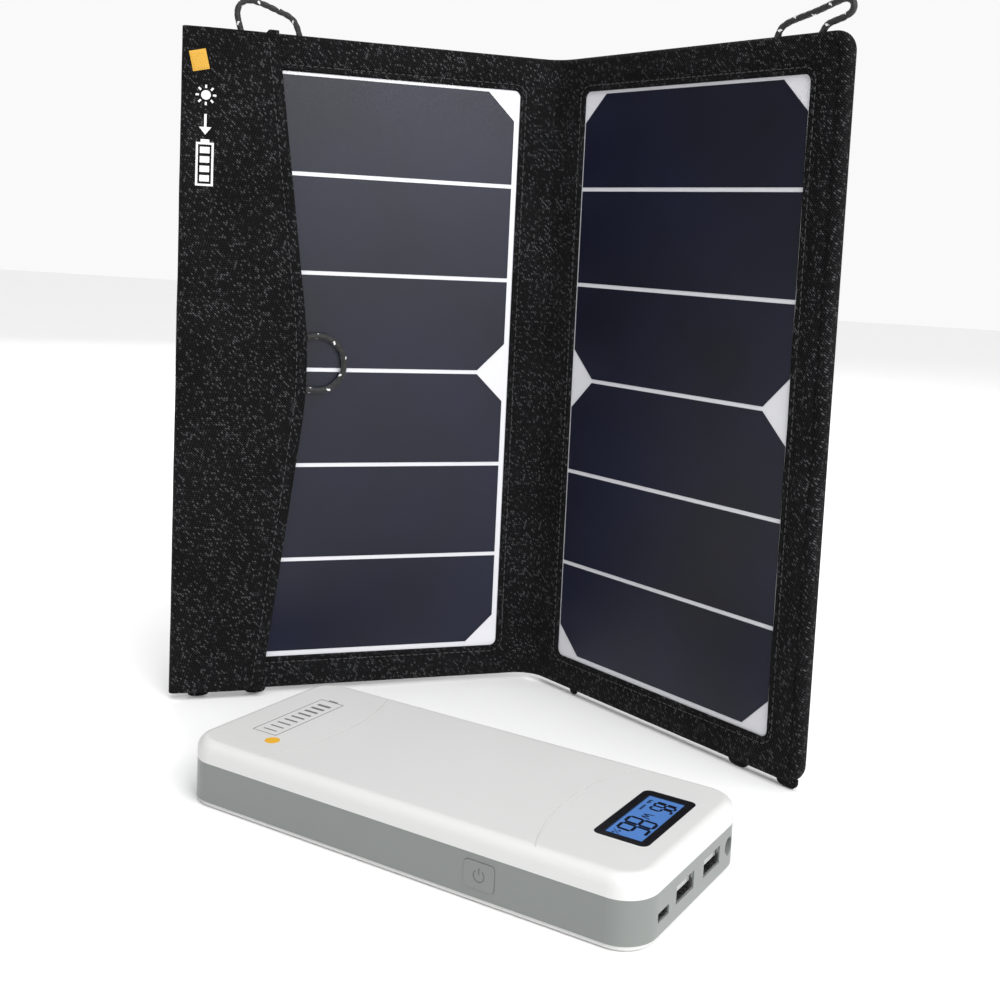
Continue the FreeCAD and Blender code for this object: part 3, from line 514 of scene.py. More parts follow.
def metal_material(name, colour, roughness, scale=900.0):
    """Drawn metal with fine lines along its length."""
    material, tree, shader = start_material(name)
    drawn = add(tree, "ShaderNodeMapping", Vector=object_place(tree), Scale=(1.0, 1.0, 0.06))
    drawn_lines = add(tree, "ShaderNodeTexNoise", Vector=drawn.outputs[0], Scale=scale, Detail=3.0).outputs[0]
    fill(tree, shader, Metallic=1.0,
         Base_Color=blend_colours(tree, drawn_lines, tinted(colour, 0.8), tinted(colour)),
         Roughness=stretch(tree, drawn_lines, 0.3, 0.7, roughness * 0.7, roughness * 1.3))
    raise_surface(tree, shader, drawn_lines, 0.15, 0.00004)
    return material


def cell_material(name, colour):
    """Back-contact cells under a satin film: near-black navy with a faint grain."""
    material, tree, shader = start_material(name)
    cloud = stretch(tree, object_noise(tree, 14.0), 0.3, 0.7, 0, 1)
    grains = object_noise(tree, 1500.0, 2.0, 0.7)
    fill(tree, shader, Base_Color=blend_colours(tree, cloud, tinted(colour, 0.6), tinted(colour, 1.7)),
         Roughness=stretch(tree, grains, 0.3, 0.7, 0.34, 0.46), Specular_IOR_Level=0.33, Coat_Weight=0.03,
         Coat_Roughness=0.3)
    raise_surface(tree, shader, grains, 0.22, 0.00008)
    return material


def sheet_material(name, colour):
    """White backsheet seen through the film, a little dimpled."""
    material, tree, shader = start_material(name)
    dimples = object_noise(tree, 420.0, 2.0)
    shade = blend_colours(tree, object_noise(tree, 16.0), tinted(colour, 0.94), tinted(colour))
    fill(tree, shader, Base_Color=shade, Roughness=0.32, Coat_Weight=0.25)
    raise_surface(tree, shader, dimples, 0.12, 0.0001)
    return material


def print_material(name, colour, roughness=0.5):
    """Screen print: even ink with a faint mottle."""
    material, tree, shader = start_material(name)
    mottle = object_noise(tree, 2200.0, 2.0, 0.6)
    fill(tree, shader, Base_Color=blend_colours(tree, mottle, tinted(colour, 0.86), tinted(colour)),
         Roughness=roughness)
    raise_surface(tree, shader, mottle, 0.2, 0.00005)
    return material


def display_material(name, colour):
    material, tree, shader = start_material(name)
    glow = blend_colours(tree, object_noise(tree, 40.0, 1.0), tinted(colour, 0.82), tinted(colour))
    fill(tree, shader, Base_Color=glow, Emission_Color=glow, Emission_Strength=0.30, Roughness=0.2,
         Coat_Weight=0.6)
    return material


def paint(node, material):
    """Give a CAD node its finish."""
    slots = frame["nodes"][node].data.materials
    if len(slots) == 0:
        slots.append(material)
    for index in range(len(slots)):
        slots[index] = material


def keep(name, maker, *values, **more):
    """One material per finish, made the first time that it is asked for."""
    found = bpy.data.materials.get(name)
    return found if found is not None else maker(name, *values, **more)


def case_cloth(context):
    return keep("sewn_twill", cloth_material, context.scene.kit_colours, context.scene.sewing_sizes.weave)


def sewing_thread(context):
    return keep("sewing_thread", thread_material, tuple(context.scene.kit_colours.thread))


# ---------------------------------------------------------------- stage, camera and light

class KIT_OT_stage(bpy.types.Operator):
    """Floor, camera and studio light"""
    bl_idname = "kit.make_stage"
    bl_label = "Stage"

    def execute(self, context):
        scene = context.scene
        bpy.ops.object.select_all(action="DESELECT")
        bpy.ops.mesh.primitive_plane_add(size=8.0, location=(0, 0, -0.0002))
        floor = context.active_object
        floor.name = "floor"
        settle(floor, Matrix.Identity(4))
        paper = plastic_material("floor_paper", (0.92, 0.92, 0.92), 0.8, 0.02, 300.0, 0.01)
        floor.data.materials.append(paper)

        eye = SPINE + Vector((0.1598, -0.5877, 0.2104 - SPINE.z))
        yaw, pitch, roll = (math.radians(a) for a in (-15.08, 5.70, 2.814))
        forward = Vector((math.sin(yaw) * math.cos(pitch), math.cos(yaw) * math.cos(pitch),
                          -math.sin(pitch)))
        level = Vector((math.cos(yaw), -math.sin(yaw), 0.0))
        upward = level.cross(forward)
        right = level * math.cos(roll) + upward * math.sin(roll)
        top = upward * math.cos(roll) - level * math.sin(roll)
        camera = bpy.data.objects.new("camera", bpy.data.cameras.new("camera"))
        scene.collection.objects.link(camera)
        turned = Matrix((right, top, -forward)).transposed()
        camera.matrix_world = Matrix.Translation(eye) @ turned.to_4x4()
        camera.data.sensor_width = 36.0
        camera.data.lens = 36.0 * 1.2905
        camera.data.shift_x = -0.0451
        camera.data.shift_y = -0.1272
        camera.data.clip_start = 0.02
        scene.camera = camera

        world = bpy.data.worlds.new("studio")
        world.use_nodes = True
        tree = world.node_tree
        tree.nodes["Background"].inputs["Color"].default_value = (1, 1, 1, 1)
        seen = tree.nodes.new("ShaderNodeLightPath").outputs["Is Camera Ray"]
        glow = stretch(tree, seen, 0.0, 1.0, 0.25, 0.95)
        tree.links.new(glow, tree.nodes["Background"].inputs["Strength"])
        scene.world = world
        scene.view_settings.view_transform = "Standard"
        sky = bpy.data.lights.new("ceiling", "SUN")
        sky.energy = 2.55
        sky.angle = math.radians(70)
        ceiling = bpy.data.objects.new("ceiling", sky)
        scene.collection.objects.link(ceiling)
        aim = Vector((-0.30, 0.32, -1.0)).to_track_quat("-Z", "Y")
        ceiling.matrix_world = Matrix.Translation((0.5, -0.5, 2.0)) @ aim.to_matrix().to_4x4()
        self.lamp(scene, "softbox_right", (0.86, -0.80, 0.66), (-0.06, 0.07, 0.20), 0.8, 12.0)
        self.lamp(scene, "softbox_back", (-0.70, 1.25, 0.95), (0.0, 0.08, 0.15), 0.9, 11.0)
        return {"FINISHED"}

    def lamp(self, scene, name, place, target, size, power):
        data = bpy.data.lights.new(name, "AREA")
        data.size = size
        data.energy = power
        lamp = bpy.data.objects.new(name, data)
        scene.collection.objects.link(lamp)
        aim = (Vector(target) - Vector(place)).to_track_quat("-Z", "Y")
        lamp.matrix_world = Matrix.Translation(place) @ aim.to_matrix().to_4x4()


# ---------------------------------------------------------------- cords

LEFT_LOOP = [(0.1392, -0.00095), (0.1406, 0.0037), (0.1414, 0.0076), (0.1403, 0.0114), (0.1366, 0.0134),
             (0.1306, 0.0123), (0.1243, 0.0099), (0.1187, 0.0080), (0.1155, 0.0044), (0.1142, -0.00095)]
RIGHT_LOOP = [(0.1214, -0.00095), (0.1224, 0.0030), (0.1264, 0.0053), (0.1320, 0.0066), (0.1384, 0.0079),
              (0.1444, 0.0095), (0.1494, 0.0110), (0.1536, 0.0120), (0.1570, 0.0102), (0.1570, 0.0068),
              (0.1534, 0.0049), (0.1488, 0.0039), (0.1446, 0.0027), (0.1428, -0.00095)]
FLAP_LOOP = [(0.1074, 0.1611), (0.1024, 0.1624), (0.0964, 0.1604), (0.0918, 0.1555), (0.0904, 0.1489),
             (0.0922, 0.1427), (0.0968, 0.1383), (0.1022, 0.1369), (0.1074, 0.1377)]
HANGING_DEPTH = 0.0024
FLAP_LOOP_DEPTH = -0.0020


class KIT_OT_cords(bpy.types.Operator):
    """Braided cord loops: two on top of the panels and one on the flap"""
    bl_idname = "kit.make_cords"
    bl_label = "Cord loops"

    def execute(self, context):
        sizes = context.scene.cord_sizes
        colours = context.scene.kit_colours
        sheath = keep("cord_sheath", thread_material, tuple(colours.cord))
        fleck = keep("cord_fleck", print_material, tuple(colours.fleck), 0.55)
        routes = [
            ("left_top_cord", "left", LEFT_LOOP, HANGING_DEPTH, CASE_HEIGHT, "left_panel",
             "left_top_loop", 0.0455),
            ("right_top_cord", "right", RIGHT_LOOP, HANGING_DEPTH, CASE_HEIGHT, "right_panel",
             "right_top_loop", 0.0599),
            ("flap_cord", "left", FLAP_LOOP, FLAP_LOOP_DEPTH, 0.0, "flap", "flap_loop", 0.0478)]
        for name, side, points, depth, lift, body, node, length in routes:
            route = [case_point(side, out, depth, lift + height) for out, height in points]
            line = self.centre_line(context, name + "_line", route)
            piece = self.braid(name, line, sizes, [sheath, fleck])
            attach(piece, body)
            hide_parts(node)
        return {"FINISHED"}

    def centre_line(self, context, name, route):
        curve = bpy.data.curves.new(name, "CURVE")
        curve.dimensions = "3D"
        curve.resolution_u = 24
        spline = curve.splines.new("NURBS")
        spline.points.add(len(route) - 1)
        for point, place in zip(spline.points, route):
            point.co = (place.x, place.y, place.z, 1.0)
        spline.order_u = 3
        spline.use_endpoint_u = True
        holder = bpy.data.objects.new(name, curve)
        context.scene.collection.objects.link(holder)
        context.view_layer.update()
        mesh = bpy.data.meshes.new_from_object(holder.evaluated_get(context.evaluated_depsgraph_get()))
        line = [v.co.copy() for v in mesh.vertices]
        bpy.data.objects.remove(holder)
        bpy.data.meshes.remove(mesh)
        return line

    def braid(self, name, line, sizes, materials):
        """A braided sheath round the line, with two tracers of white flecks."""
        station_step, plait_lay = 0.00028, 0.0034
        points = np.array([tuple(p) for p in line])
        steps = np.linalg.norm(np.diff(points, axis=0), axis=1)
        along = np.concatenate([[0], np.cumsum(steps)])
        count = int(along[-1] / station_step)
        stations = np.linspace(0, along[-1], count)
        centres = np.stack([np.interp(stations, along, points[:, k]) for k in range(3)], 1)
        sides, radius = 32, sizes.diameter / 2
        vertices, faces, tones = [], [], []
        side_way = None
        for i in range(count):
            ahead = Vector(centres[min(i + 2, count - 1)] - centres[max(i - 2, 0)]).normalized()
            if side_way is None:
                side_way = ahead.orthogonal().normalized()
            side_way = (side_way - ahead * side_way.dot(ahead)).normalized()
            other = ahead.cross(side_way)
            for j in range(sides):
                angle = math.tau * j / sides
                first = math.cos(sizes.plaits / 2 * angle + stations[i] * math.tau / plait_lay)
                second = math.cos(sizes.plaits / 2 * angle - stations[i] * math.tau / plait_lay)
                plait = max(first, second)
                reach = radius * (0.93 + 0.085 * plait)
                spot = side_way * math.cos(angle) + other * math.sin(angle)
                vertices.append(Vector(centres[i]) + spot * reach)
        for i in range(count - 1):
            place = stations[i] % sizes.fleck_pitch / sizes.fleck_pitch
            turn = stations[i] / sizes.fleck_pitch * 1.9
            for j in range(sides):
                a, b = i * sides + j, i * sides + (j + 1) % sides
                faces.append((a, b, b + sides, a + sides))
                lean = (math.tau * (j + 0.5) / sides - turn - (place - 0.5) * 2.2) % math.pi
                lean = min(lean, math.pi - lean)
                tones.append(1 if 0.40 < place < 0.56 and lean < 0.42 else 0)
        faces.append(tuple(reversed(range(sides))))
        faces.append(tuple((count - 1) * sides + j for j in range(sides)))
        tones += [0, 0]
        piece = new_piece(name, vertices, faces, smooth_angle=70)
        for material in materials:
            piece.data.materials.append(material)
        piece.data.polygons.foreach_set("material_index", tones)
        return piece


# ---------------------------------------------------------------- sewn case

class KIT_OT_case(bpy.types.Operator):
    """Sewn front borders with their windows, side walls and backs, both panels and the spine"""
    bl_idname = "kit.make_case"
    bl_label = "Sewn case"

    def execute(self, context):
        sizes = context.scene.sewing_sizes
        cloth = case_cloth(context)
        for side in ("left", "right"):
            front = self.front_border(side, sizes)
            front.data.materials.append(cloth)
            back = self.back_cloth(side, sizes)
            back.data.materials.append(cloth)
            for piece in (front, back):
                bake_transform(piece)
            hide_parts(side + "_front_frame", "spine_front_cloth")
            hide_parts(side + "_case_back", "spine_back_cloth")
            self.seams(context, side, sizes)
        return {"FINISHED"}

    def cut_area(self, piece):
        return sum(p.area for p in piece.data.polygons) / 2

    def full_depth(self, out):
        """How deep the case is: full on the panel, thin where the spine bends."""
        return SPINE_DEPTH + (CASE_DEPTH - SPINE_DEPTH) * smooth_step((out + 0.0024) / 0.0026)

    def front_border(self, side, sizes):
        edge_in, roll = -SPINE_HALF, 0.00045
        rings, charts = [], []

        def lay(loop, depths):
            rings.append([case_point(side, out, depth, height) for (out, height), depth in zip(loop, depths)])
            charts.append([(SIDE[side] * out, height) for out, height in loop])

        near_window = [(0.0, 0.00075), (0.0, 0.0003), (0.00012, -0.00005), (roll, -roll * 0.6),
                       (0.001, -0.00034), (0.0017, -0.00030), (sizes.seam_inset - 0.0004, -0.00010),
                       (sizes.seam_inset, 0.00012), (sizes.seam_inset + 0.0004, -0.00010),
                       (sizes.seam_inset + 0.0011, -0.00032)]
        near_edge = [(0.0050, -0.00030, -0.00030), (0.0045, -0.00028, 0.00010), (0.0040, -0.00026, -0.00024),
                     (0.0030, -0.00022, -0.00055), (0.0019, -0.00014, -0.00045), (0.0010, 0.0001, -0.00005),
                     (0.0003, 0.0006, 0.0005), (0.0, 0.0012, 0.0012)]
        stations = [(window_loop(side, grow), depth) for grow, depth in near_window]
        inner_loop, outer_loop = stations[-1][0], edge_loop(side, near_edge[0][0])[0]
        for t in (0.2, 0.4, 0.6, 0.8):
            between = inner_loop * (1 - t) + outer_loop * t
            stations.append((between, -0.00034 - sizes.crown * math.sin(math.pi * t)))
        for inset, plain, bound in near_edge:
            loop = edge_loop(side, inset)[0]
            binding = smooth_step((loop[:, 0] - WIDTH[side] + 0.009) / 0.004)
            stations.append((loop, plain + (bound - plain) * binding))
        for loop, depth in stations:
            shift = ripple(loop[:, 0], loop[:, 1], 11 if side == "left" else 12, 0.00022)
            ease = smooth_step(np.abs(loop[:, 0] + SPINE_HALF) / 0.004)
            depths = np.zeros(len(loop)) + depth
            lay(loop, depths + shift * ease * (depths < 0))
        outer, away = edge_loop(side, 0.0)
        for share, bulge in ((0.35, 0.00022), (0.6, 0.00030), (0.85, 0.00022), (1.0, 0.0), (1.0, -0.0012)):
            points, chart = [], []
            for k in range(len(outer)):
                depth = 0.0008 + (self.full_depth(outer[k, 0]) - 0.0011) * share
                push = bulge if outer[k, 0] > 0 else 0.0
                out = outer[k, 0] + away[k, 0] * push
                height = outer[k, 1] + away[k, 1] * push
                if outer[k, 0] <= edge_in + 1e-6:
                    out = edge_in
                points.append(case_point(side, out, depth, height))
                chart.append((SIDE[side] * (outer[k, 0] + away[k, 0] * depth),
                              outer[k, 1] + away[k, 1] * depth))
            rings.append(points)
            charts.append(chart)
        for loop, depth in ((edge_loop(side, 0.0012)[0], 0.0013), (window_loop(side, 0.004), sizes.cloth)):
            lay(loop, [depth] * len(loop))
        return closed_rings(side + "_front_cloth", rings, charts)

    def back_cloth(self, side, sizes):
        """The back, drawn in over the side walls, thinner over the spine, a little crowned."""
        radius = OUTER_CORNER
        edge = [0.0, 0.0003, 0.0008, 0.0016, 0.0028, 0.0045]
        heights = edge + list(np.linspace(0.007, CASE_HEIGHT - 0.007, 90))
        heights += [CASE_HEIGHT - e for e in reversed(edge)]
        shares = list(np.linspace(0, 0.06, 22)) + list(np.linspace(0.08, 0.955, 52))
        shares += [0.968, 0.98, 0.99, 0.996, 1.0]
        front, back, charts = [], [], []
        for height in heights:
            near = min(height, CASE_HEIGHT - height)
            drop = radius - near if near < radius else 0.0
            reach = WIDTH[side] - radius + math.sqrt(max(radius ** 2 - drop ** 2, 0.0))
            front_row, back_row, chart = [], [], []
            for share in shares:
                out = -SPINE_HALF + (reach + SPINE_HALF) * share
                gap = min(near, reach - out)
                edge_drop = sizes.cloth * rolled(gap, sizes.cloth)
                full = self.full_depth(out)
                crown = 0.0005 * smooth_step(gap / 0.03) * smooth_step(out / 0.03)
                seam = 0.00022 * math.exp(-((gap - 0.0035) / 0.0006) ** 2)
                wave = ripple(out, height, 21, 0.0002) * smooth_step(gap / 0.01) if out >= 0.004 else 0.0
                depth = full + crown + wave - seam - edge_drop
                front_row.append(case_point(side, out, depth, height))
                inner_height = min(max(height, 0.0006), CASE_HEIGHT - 0.0006)
                back_row.append(case_point(side, out, max(full - 0.0010, 0.0012), inner_height))
                chart.append((SIDE[side] * out, height))
            front.append(front_row)
            back.append(back_row)
            charts.append(chart)
        return closed_sheet(side + "_back_cloth", front, back, charts)

    def seams(self, context, side, sizes):
        """Stitches round the window, and round the back just inside its edge."""
        front = facing(side, -1)
        edge = rounded_loop(0.0085, WIDTH[side] - 0.0035, 0.0035, CASE_HEIGHT - 0.0035, 0.002, 0.005)[0]
        rows = (("_window_seam", window_loop(side, sizes.seam_inset), -0.00006, front),
                ("_back_seam", edge, CASE_DEPTH + 0.00002, -front))
        for name, loop, depth, outward in rows:
            places = [(case_point(side, out, depth, height), outward) for out, height in loop]
            places.append(places[0])
            thread = stitch_row(side + name, places, sizes, sewing_thread(context))
            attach(thread, side + "_panel")


# ---------------------------------------------------------------- flap

def flap_edge(height):
    """Free edge of the flap, out from the fold line, at a height above the case's foot."""
    middle = CASE_HEIGHT / 2
    slope = FLAP_RISE / (middle - FLAP_INSET)
    reach = FLAP_BEND * math.sin(math.atan(slope))
    away = abs(height - middle)
    if away < reach:
        return FLAP_MIDDLE + FLAP_BEND - math.sqrt(FLAP_BEND ** 2 - away ** 2)
    return FLAP_MIDDLE + reach * slope / 2 + (away - reach) * slope


class KIT_OT_flap(bpy.types.Operator):
    """Closing flap that wraps the left panel's outer edge, with its hem, seam, tag and print"""
    bl_idname = "kit.make_flap"
    bl_label = "Closing flap"

    def execute(self, context):
        sizes = context.scene.sewing_sizes
        colours = context.scene.kit_colours
        flap = self.cloth(sizes)
        flap.data.materials.append(case_cloth(context))
        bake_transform(flap)
        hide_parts("flap_cloth", "flap_hem")
        places = []
        for height in np.linspace(0.002, CASE_HEIGHT - 0.002, 160):
            out = flap_edge(height) + sizes.hem_width
            depth = self.front_depth(out, height, sizes) - 0.00004
            places.append((case_point("left", out, depth, height), facing("left", -1)))
        thread = stitch_row("flap_hem_seam", places, sizes, sewing_thread(context))
        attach(thread, "flap")
        self.tag(context, colours)
        self.pictogram(context)
        return {"FINISHED"}

    def front_depth(self, out, height, sizes):
        """Depth of the flap's outer face."""
        edge = flap_edge(height)
        across = (out - edge) / (0.1600 - edge)
        bow = sizes.flap_bow * math.sin(math.pi * min(max(across, 0), 1)) ** 0.8
        past_hem = out - edge - sizes.hem_width
        lift = 0.0007 * (1 - smooth_step(across / 0.5))
        hem = 0.00055 * (1 - smooth_step((past_hem + 0.0008) / 0.0009))
        seam = 0.00025 * math.exp(-(past_hem / 0.0005) ** 2)
        wave = ripple(out, height, 31, 0.0002)
        return -0.0017 - bow - lift - hem + seam + wave

    def cloth(self, sizes):
        ends = [FLAP_INSET, 0.0008, 0.0014]
        heights = ends + list(np.linspace(0.003, CASE_HEIGHT - 0.003, 140))
        heights += [CASE_HEIGHT - end for end in reversed(ends)]
        hem = sizes.hem_width
        steps = [0.0, 0.0002, 0.0006, 0.0013, 0.0022, hem - 0.0014, hem - 0.0006, hem - 0.0002, hem + 0.0002,
                 hem + 0.0007, hem + 0.0016]
        wrap = [(0.1606, -0.00175), (0.1618, -0.00165), (0.1627, -0.00135), (0.1634, -0.0008), (0.16375, 0.0),
                (0.1639, 0.0010), (0.1638, 0.0020), (0.1636, 0.0030), (0.1633, 0.0038)]
        inner_wrap = [(0.1605, -0.00085), (0.1612, -0.0008), (0.1618, -0.0006), (0.1623, -0.0003),
                      (0.1626, 0.0002), (0.1628, 0.0010), (0.1628, 0.0020), (0.1627, 0.0030), (0.1626, 0.0036)]
        front, back, charts = [], [], []
        for height in heights:
            edge = flap_edge(height)
            near = min(height, CASE_HEIGHT - height) - FLAP_INSET
            thin = 0.00045 * rolled(near, sizes.cloth)
            outs = [edge + s for s in steps] + list(np.linspace(edge + hem + 0.004, 0.1590, 22))
            front_row, back_row, chart = [], [], []
            travel = 0.0
            previous = None
            for out in outs:
                face = self.front_depth(out, height, sizes)
                step_in = out - edge
                roundness = 0.0008 * rolled(step_in, 0.0008)
                thick = 0.0011 + 0.0005 * (1 - smooth_step((step_in - hem + 0.0006) / 0.0012))
                stub = 0.0013 * smooth_step((height - CASE_HEIGHT + 0.003) / 0.0026)
                stub *= smooth_step((hem + 0.0008 - step_in) / 0.0012)
                front_row.append(case_point("left", out, face + roundness + thin, height + stub))
                back_row.append(case_point("left", out, face + thick - roundness * 0.6 - thin, height + stub))
                if previous is not None:
                    travel += math.hypot(out - previous[0], face - previous[1])
                previous = (out, face)
                chart.append((-(edge + travel), height))
            for (out, depth), (in_out, in_depth) in zip(wrap, inner_wrap):
                wave = ripple(out, height, 32, 0.00012)
                front_row.append(case_point("left", out + wave, depth + thin, height))
                back_row.append(case_point("left", in_out, in_depth - thin, height))
                travel += math.hypot(out - previous[0], depth - previous[1])
                previous = (out, depth)
                chart.append((-(edge + travel), height))
            front.append(front_row)
            back.append(back_row)
            charts.append(chart)
        return closed_sheet("flap_cloth_sewn", front, back, charts)

    def tag(self, context, colours):
        """A plain woven tag, folded at both ends and sewn down."""
        sizes = context.scene.sewing_sizes
        centre_out, centre_height, half_out, half_height = 0.1568, 0.2785, 0.0035, 0.0043
        tilt = math.radians(13)
        rows, columns = 14, 10
        front, back, charts = [], [], []
        for i in range(rows + 1):
            front_row, back_row, chart = [], [], []
            for j in range(columns + 1):
                up = -half_height + 2 * half_height * i / rows
                side = -half_out + 2 * half_out * j / columns
                out = centre_out + side * math.cos(tilt) + up * math.sin(tilt)
                height = centre_height + up * math.cos(tilt) - side * math.sin(tilt)
                base = self.front_depth(out, height, sizes)
                rim = min(i, rows - i, j * 1.4, (columns - j) * 1.4)
                puff = 0.00035 * min(rim / 2.0, 1.0) + 0.00006
                front_row.append(case_point("left", out, base - puff, height))
                back_row.append(case_point("left", out, base + 0.0002, height))
                chart.append((side, up))
            front.append(front_row)
            back.append(back_row)
            charts.append(chart)
        tag = closed_sheet("flap_tag_woven", front, back, charts)
        tag.data.materials.append(keep("woven_tag", self.tag_material, tuple(colours.tag)))
        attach(tag, "flap")
        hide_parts("flap_tag")

    def tag_material(self, name, colour):
        material, tree, shader = start_material(name)
        across, up = chart_axes(tree)
        height = maths(tree, "MULTIPLY", ridges(tree, across, 0.0004), ridges(tree, up, 0.0003))
        # Painted shade: the tag is darker in the dips between its woven threads, where the bump is low.
        recess_shaded_tint = blend_colours(tree, height, tinted(colour, 0.62), colour)
        fill(tree, shader, Base_Color=recess_shaded_tint, Roughness=0.6, Sheen_Weight=0.3)
        raise_surface(tree, shader, height, 0.5, 0.00012)
        return material

    def pictogram(self, context):
        """White print on the flap: a sun above an arrow above a cell."""
        sizes = context.scene.sewing_sizes
        middle = 0.1538
        sun = (middle, 0.2640)
        outlines = [disc(sun, 0.0020, 24)]
        for k in range(8):
            outlines.append(bar(sun, 0.0029, 0.0043, math.tau * k / 8, 0.0008))
        outlines.append(bar((middle, 0.2560), 0.0, 0.0060, -math.pi / 2, 0.0010))
        outlines.append([(middle - 0.0026, 0.2505), (middle + 0.0026, 0.2505), (middle, 0.2473)])
        outlines += frame_bars(0.1501, 0.1575, 0.2255, 0.2440, 0.0009)
        outlines.append(box_outline(0.1520, 0.1556, 0.2440, 0.2453))
        for k in range(4):
            outlines.append(box_outline(0.1518, 0.1558, 0.2274 + k * 0.0040, 0.2301 + k * 0.0040))
        ink = keep("white_print", print_material, (0.80, 0.80, 0.80, 1), 0.6)
        mark = flat_print("flap_print", outlines, -0.00015, 0.00025, Matrix.Identity(4), ink)
        for vertex in mark.data.vertices:
            out, height, lift = vertex.co
            vertex.co = case_point("left", out, self.front_depth(out, height, sizes) - lift, height)
        outward_normals(mark)
        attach(mark, "flap")


# ---------------------------------------------------------------- flat shapes for prints

def disc(centre, radius, count):
    angles = [math.tau * k / count for k in range(count)]
    return [(centre[0] + radius * math.cos(a), centre[1] + radius * math.sin(a)) for a in angles]


def stroke(a, b, width):
    """A straight bar from a to b."""
    dx, dy = b[0] - a[0], b[1] - a[1]
    size = math.hypot(dx, dy)
    nx, ny = -dy / size * width / 2, dx / size * width / 2
    return [(a[0] - nx, a[1] - ny), (b[0] - nx, b[1] - ny), (b[0] + nx, b[1] + ny), (a[0] + nx, a[1] + ny)]


def bar(centre, start, stop, angle, width):
    """A straight bar that points away from a centre."""
    ends = [(centre[0] + math.cos(angle) * r, centre[1] + math.sin(angle) * r) for r in (start, stop)]
    return stroke(ends[0], ends[1], width)


def box_outline(x0, x1, z0, z1):
    return [(x0, z0), (x1, z0), (x1, z1), (x0, z1)]


def frame_bars(x0, x1, z0, z1, width):
    return [box_outline(x0, x1, z0, z0 + width), box_outline(x0, x1, z1 - width, z1),
            box_outline(x0, x0 + width, z0 + width, z1 - width),
            box_outline(x1 - width, x1, z0 + width, z1 - width)]


def flat_print(name, outlines, level, thickness, matrix, material):
    """Thin raised shapes on a level face: each starts as a flat disc drawn out to its outline."""
    shapes = []
    for outline in outlines:
        bpy.ops.object.select_all(action="DESELECT")
        bpy.ops.mesh.primitive_circle_add(vertices=len(outline), radius=0.001, fill_type="NGON")
        shape = bpy.context.active_object
        for vertex, (x, y) in zip(shape.data.vertices, outline):
            vertex.co = (x, y, level)
        shapes.append(shape)
    piece = join_pieces(shapes, name)
    bpy.ops.object.mode_set(mode="EDIT")
    bpy.ops.mesh.select_all(action="SELECT")
    bpy.ops.mesh.extrude_region_move(TRANSFORM_OT_translate={"value": (0, 0, thickness)})
    bpy.ops.object.mode_set(mode="OBJECT")
    outward_normals(piece)
    settle(piece, matrix)
    bpy.ops.object.shade_smooth_by_angle(angle=math.radians(30))
    piece.data.materials.append(material)
    return piece


# ---------------------------------------------------------------- feet and pocket

class KIT_OT_feet(bpy.types.Operator):
    """Folded webbing tabs sewn under the bottom edges, and the small tail by the spine"""
    bl_idname = "kit.make_feet"
    bl_label = "Webbing feet"

    def execute(self, context):
        webbing = keep("webbing_black", cloth_material, context.scene.kit_colours, 0.0008, 0.9)
        for side in ("left", "right"):
            tabs = [self.tab(side, place, 0.0047, 0.0015) for place in (0.126, 0.1512)]
            piece = join_pieces(tabs, side + "_feet")
            piece.data.materials.append(webbing)
            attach(piece, side + "_panel")
            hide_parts(side + "_bottom_tabs")
        tail = join_pieces([self.tab("right", 0.025, 0.0020, 0.0012)], "spine_tail_sewn")
        tail.data.materials.append(webbing)
        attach(tail, "right_panel")
        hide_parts("spine_tail")
        return {"FINISHED"}

    def tab(self, side, place, half_width, half_depth):
        """One tab: a tape folded into a short loop, fuller at its fold."""
        middle, tall, top = SIDE[side] * place, 0.0042, 0.0017
        bpy.ops.object.select_all(action="DESELECT")
        bpy.ops.mesh.primitive_cube_add(size=1.0, location=(middle, CASE_DEPTH / 2, top - tall / 2))
        piece = bpy.context.active_object
        piece.scale = (half_width * 2, half_depth * 2, tall)
        bpy.ops.object.transform_apply(location=True, rotation=True, scale=True)
        bpy.ops.object.mode_set(mode="EDIT")
        bpy.ops.mesh.select_all(action="SELECT")
        bpy.ops.mesh.subdivide(number_cuts=7)
        bpy.ops.object.mode_set(mode="OBJECT")
        for vertex in piece.data.vertices:
            across = (vertex.co.x - middle) / half_width
            down = (top - vertex.co.z) / tall
            through = (vertex.co.y - CASE_DEPTH / 2) / half_depth
            round_end = math.sqrt(max(0.0, 1 - (max(down - 0.45, 0) / 0.55) ** 2 * 0.86))
            vertex.co.x = middle + across * half_width * (0.55 + 0.45 * round_end)
            vertex.co.y = CASE_DEPTH / 2 + through * half_depth * round_end * (1 - 0.25 * abs(across) ** 3)
            vertex.co.z += 0.0003 * across * across * max(down, 0)
        bpy.ops.object.modifier_add(type="SUBSURF")
        bpy.context.object.modifiers[-1].levels = 1
        bpy.ops.object.modifier_apply(modifier=bpy.context.object.modifiers[-1].name)
        bpy.ops.object.shade_smooth()
        layer = piece.data.uv_layers.active or piece.data.uv_layers.new(name="UVMap")
        for loop in piece.data.loops:
            co = piece.data.vertices[loop.vertex_index].co
            layer.data[loop.index].uv = (co.x, co.z + co.y)
        settle(piece, panel_matrix(side))
        return piece


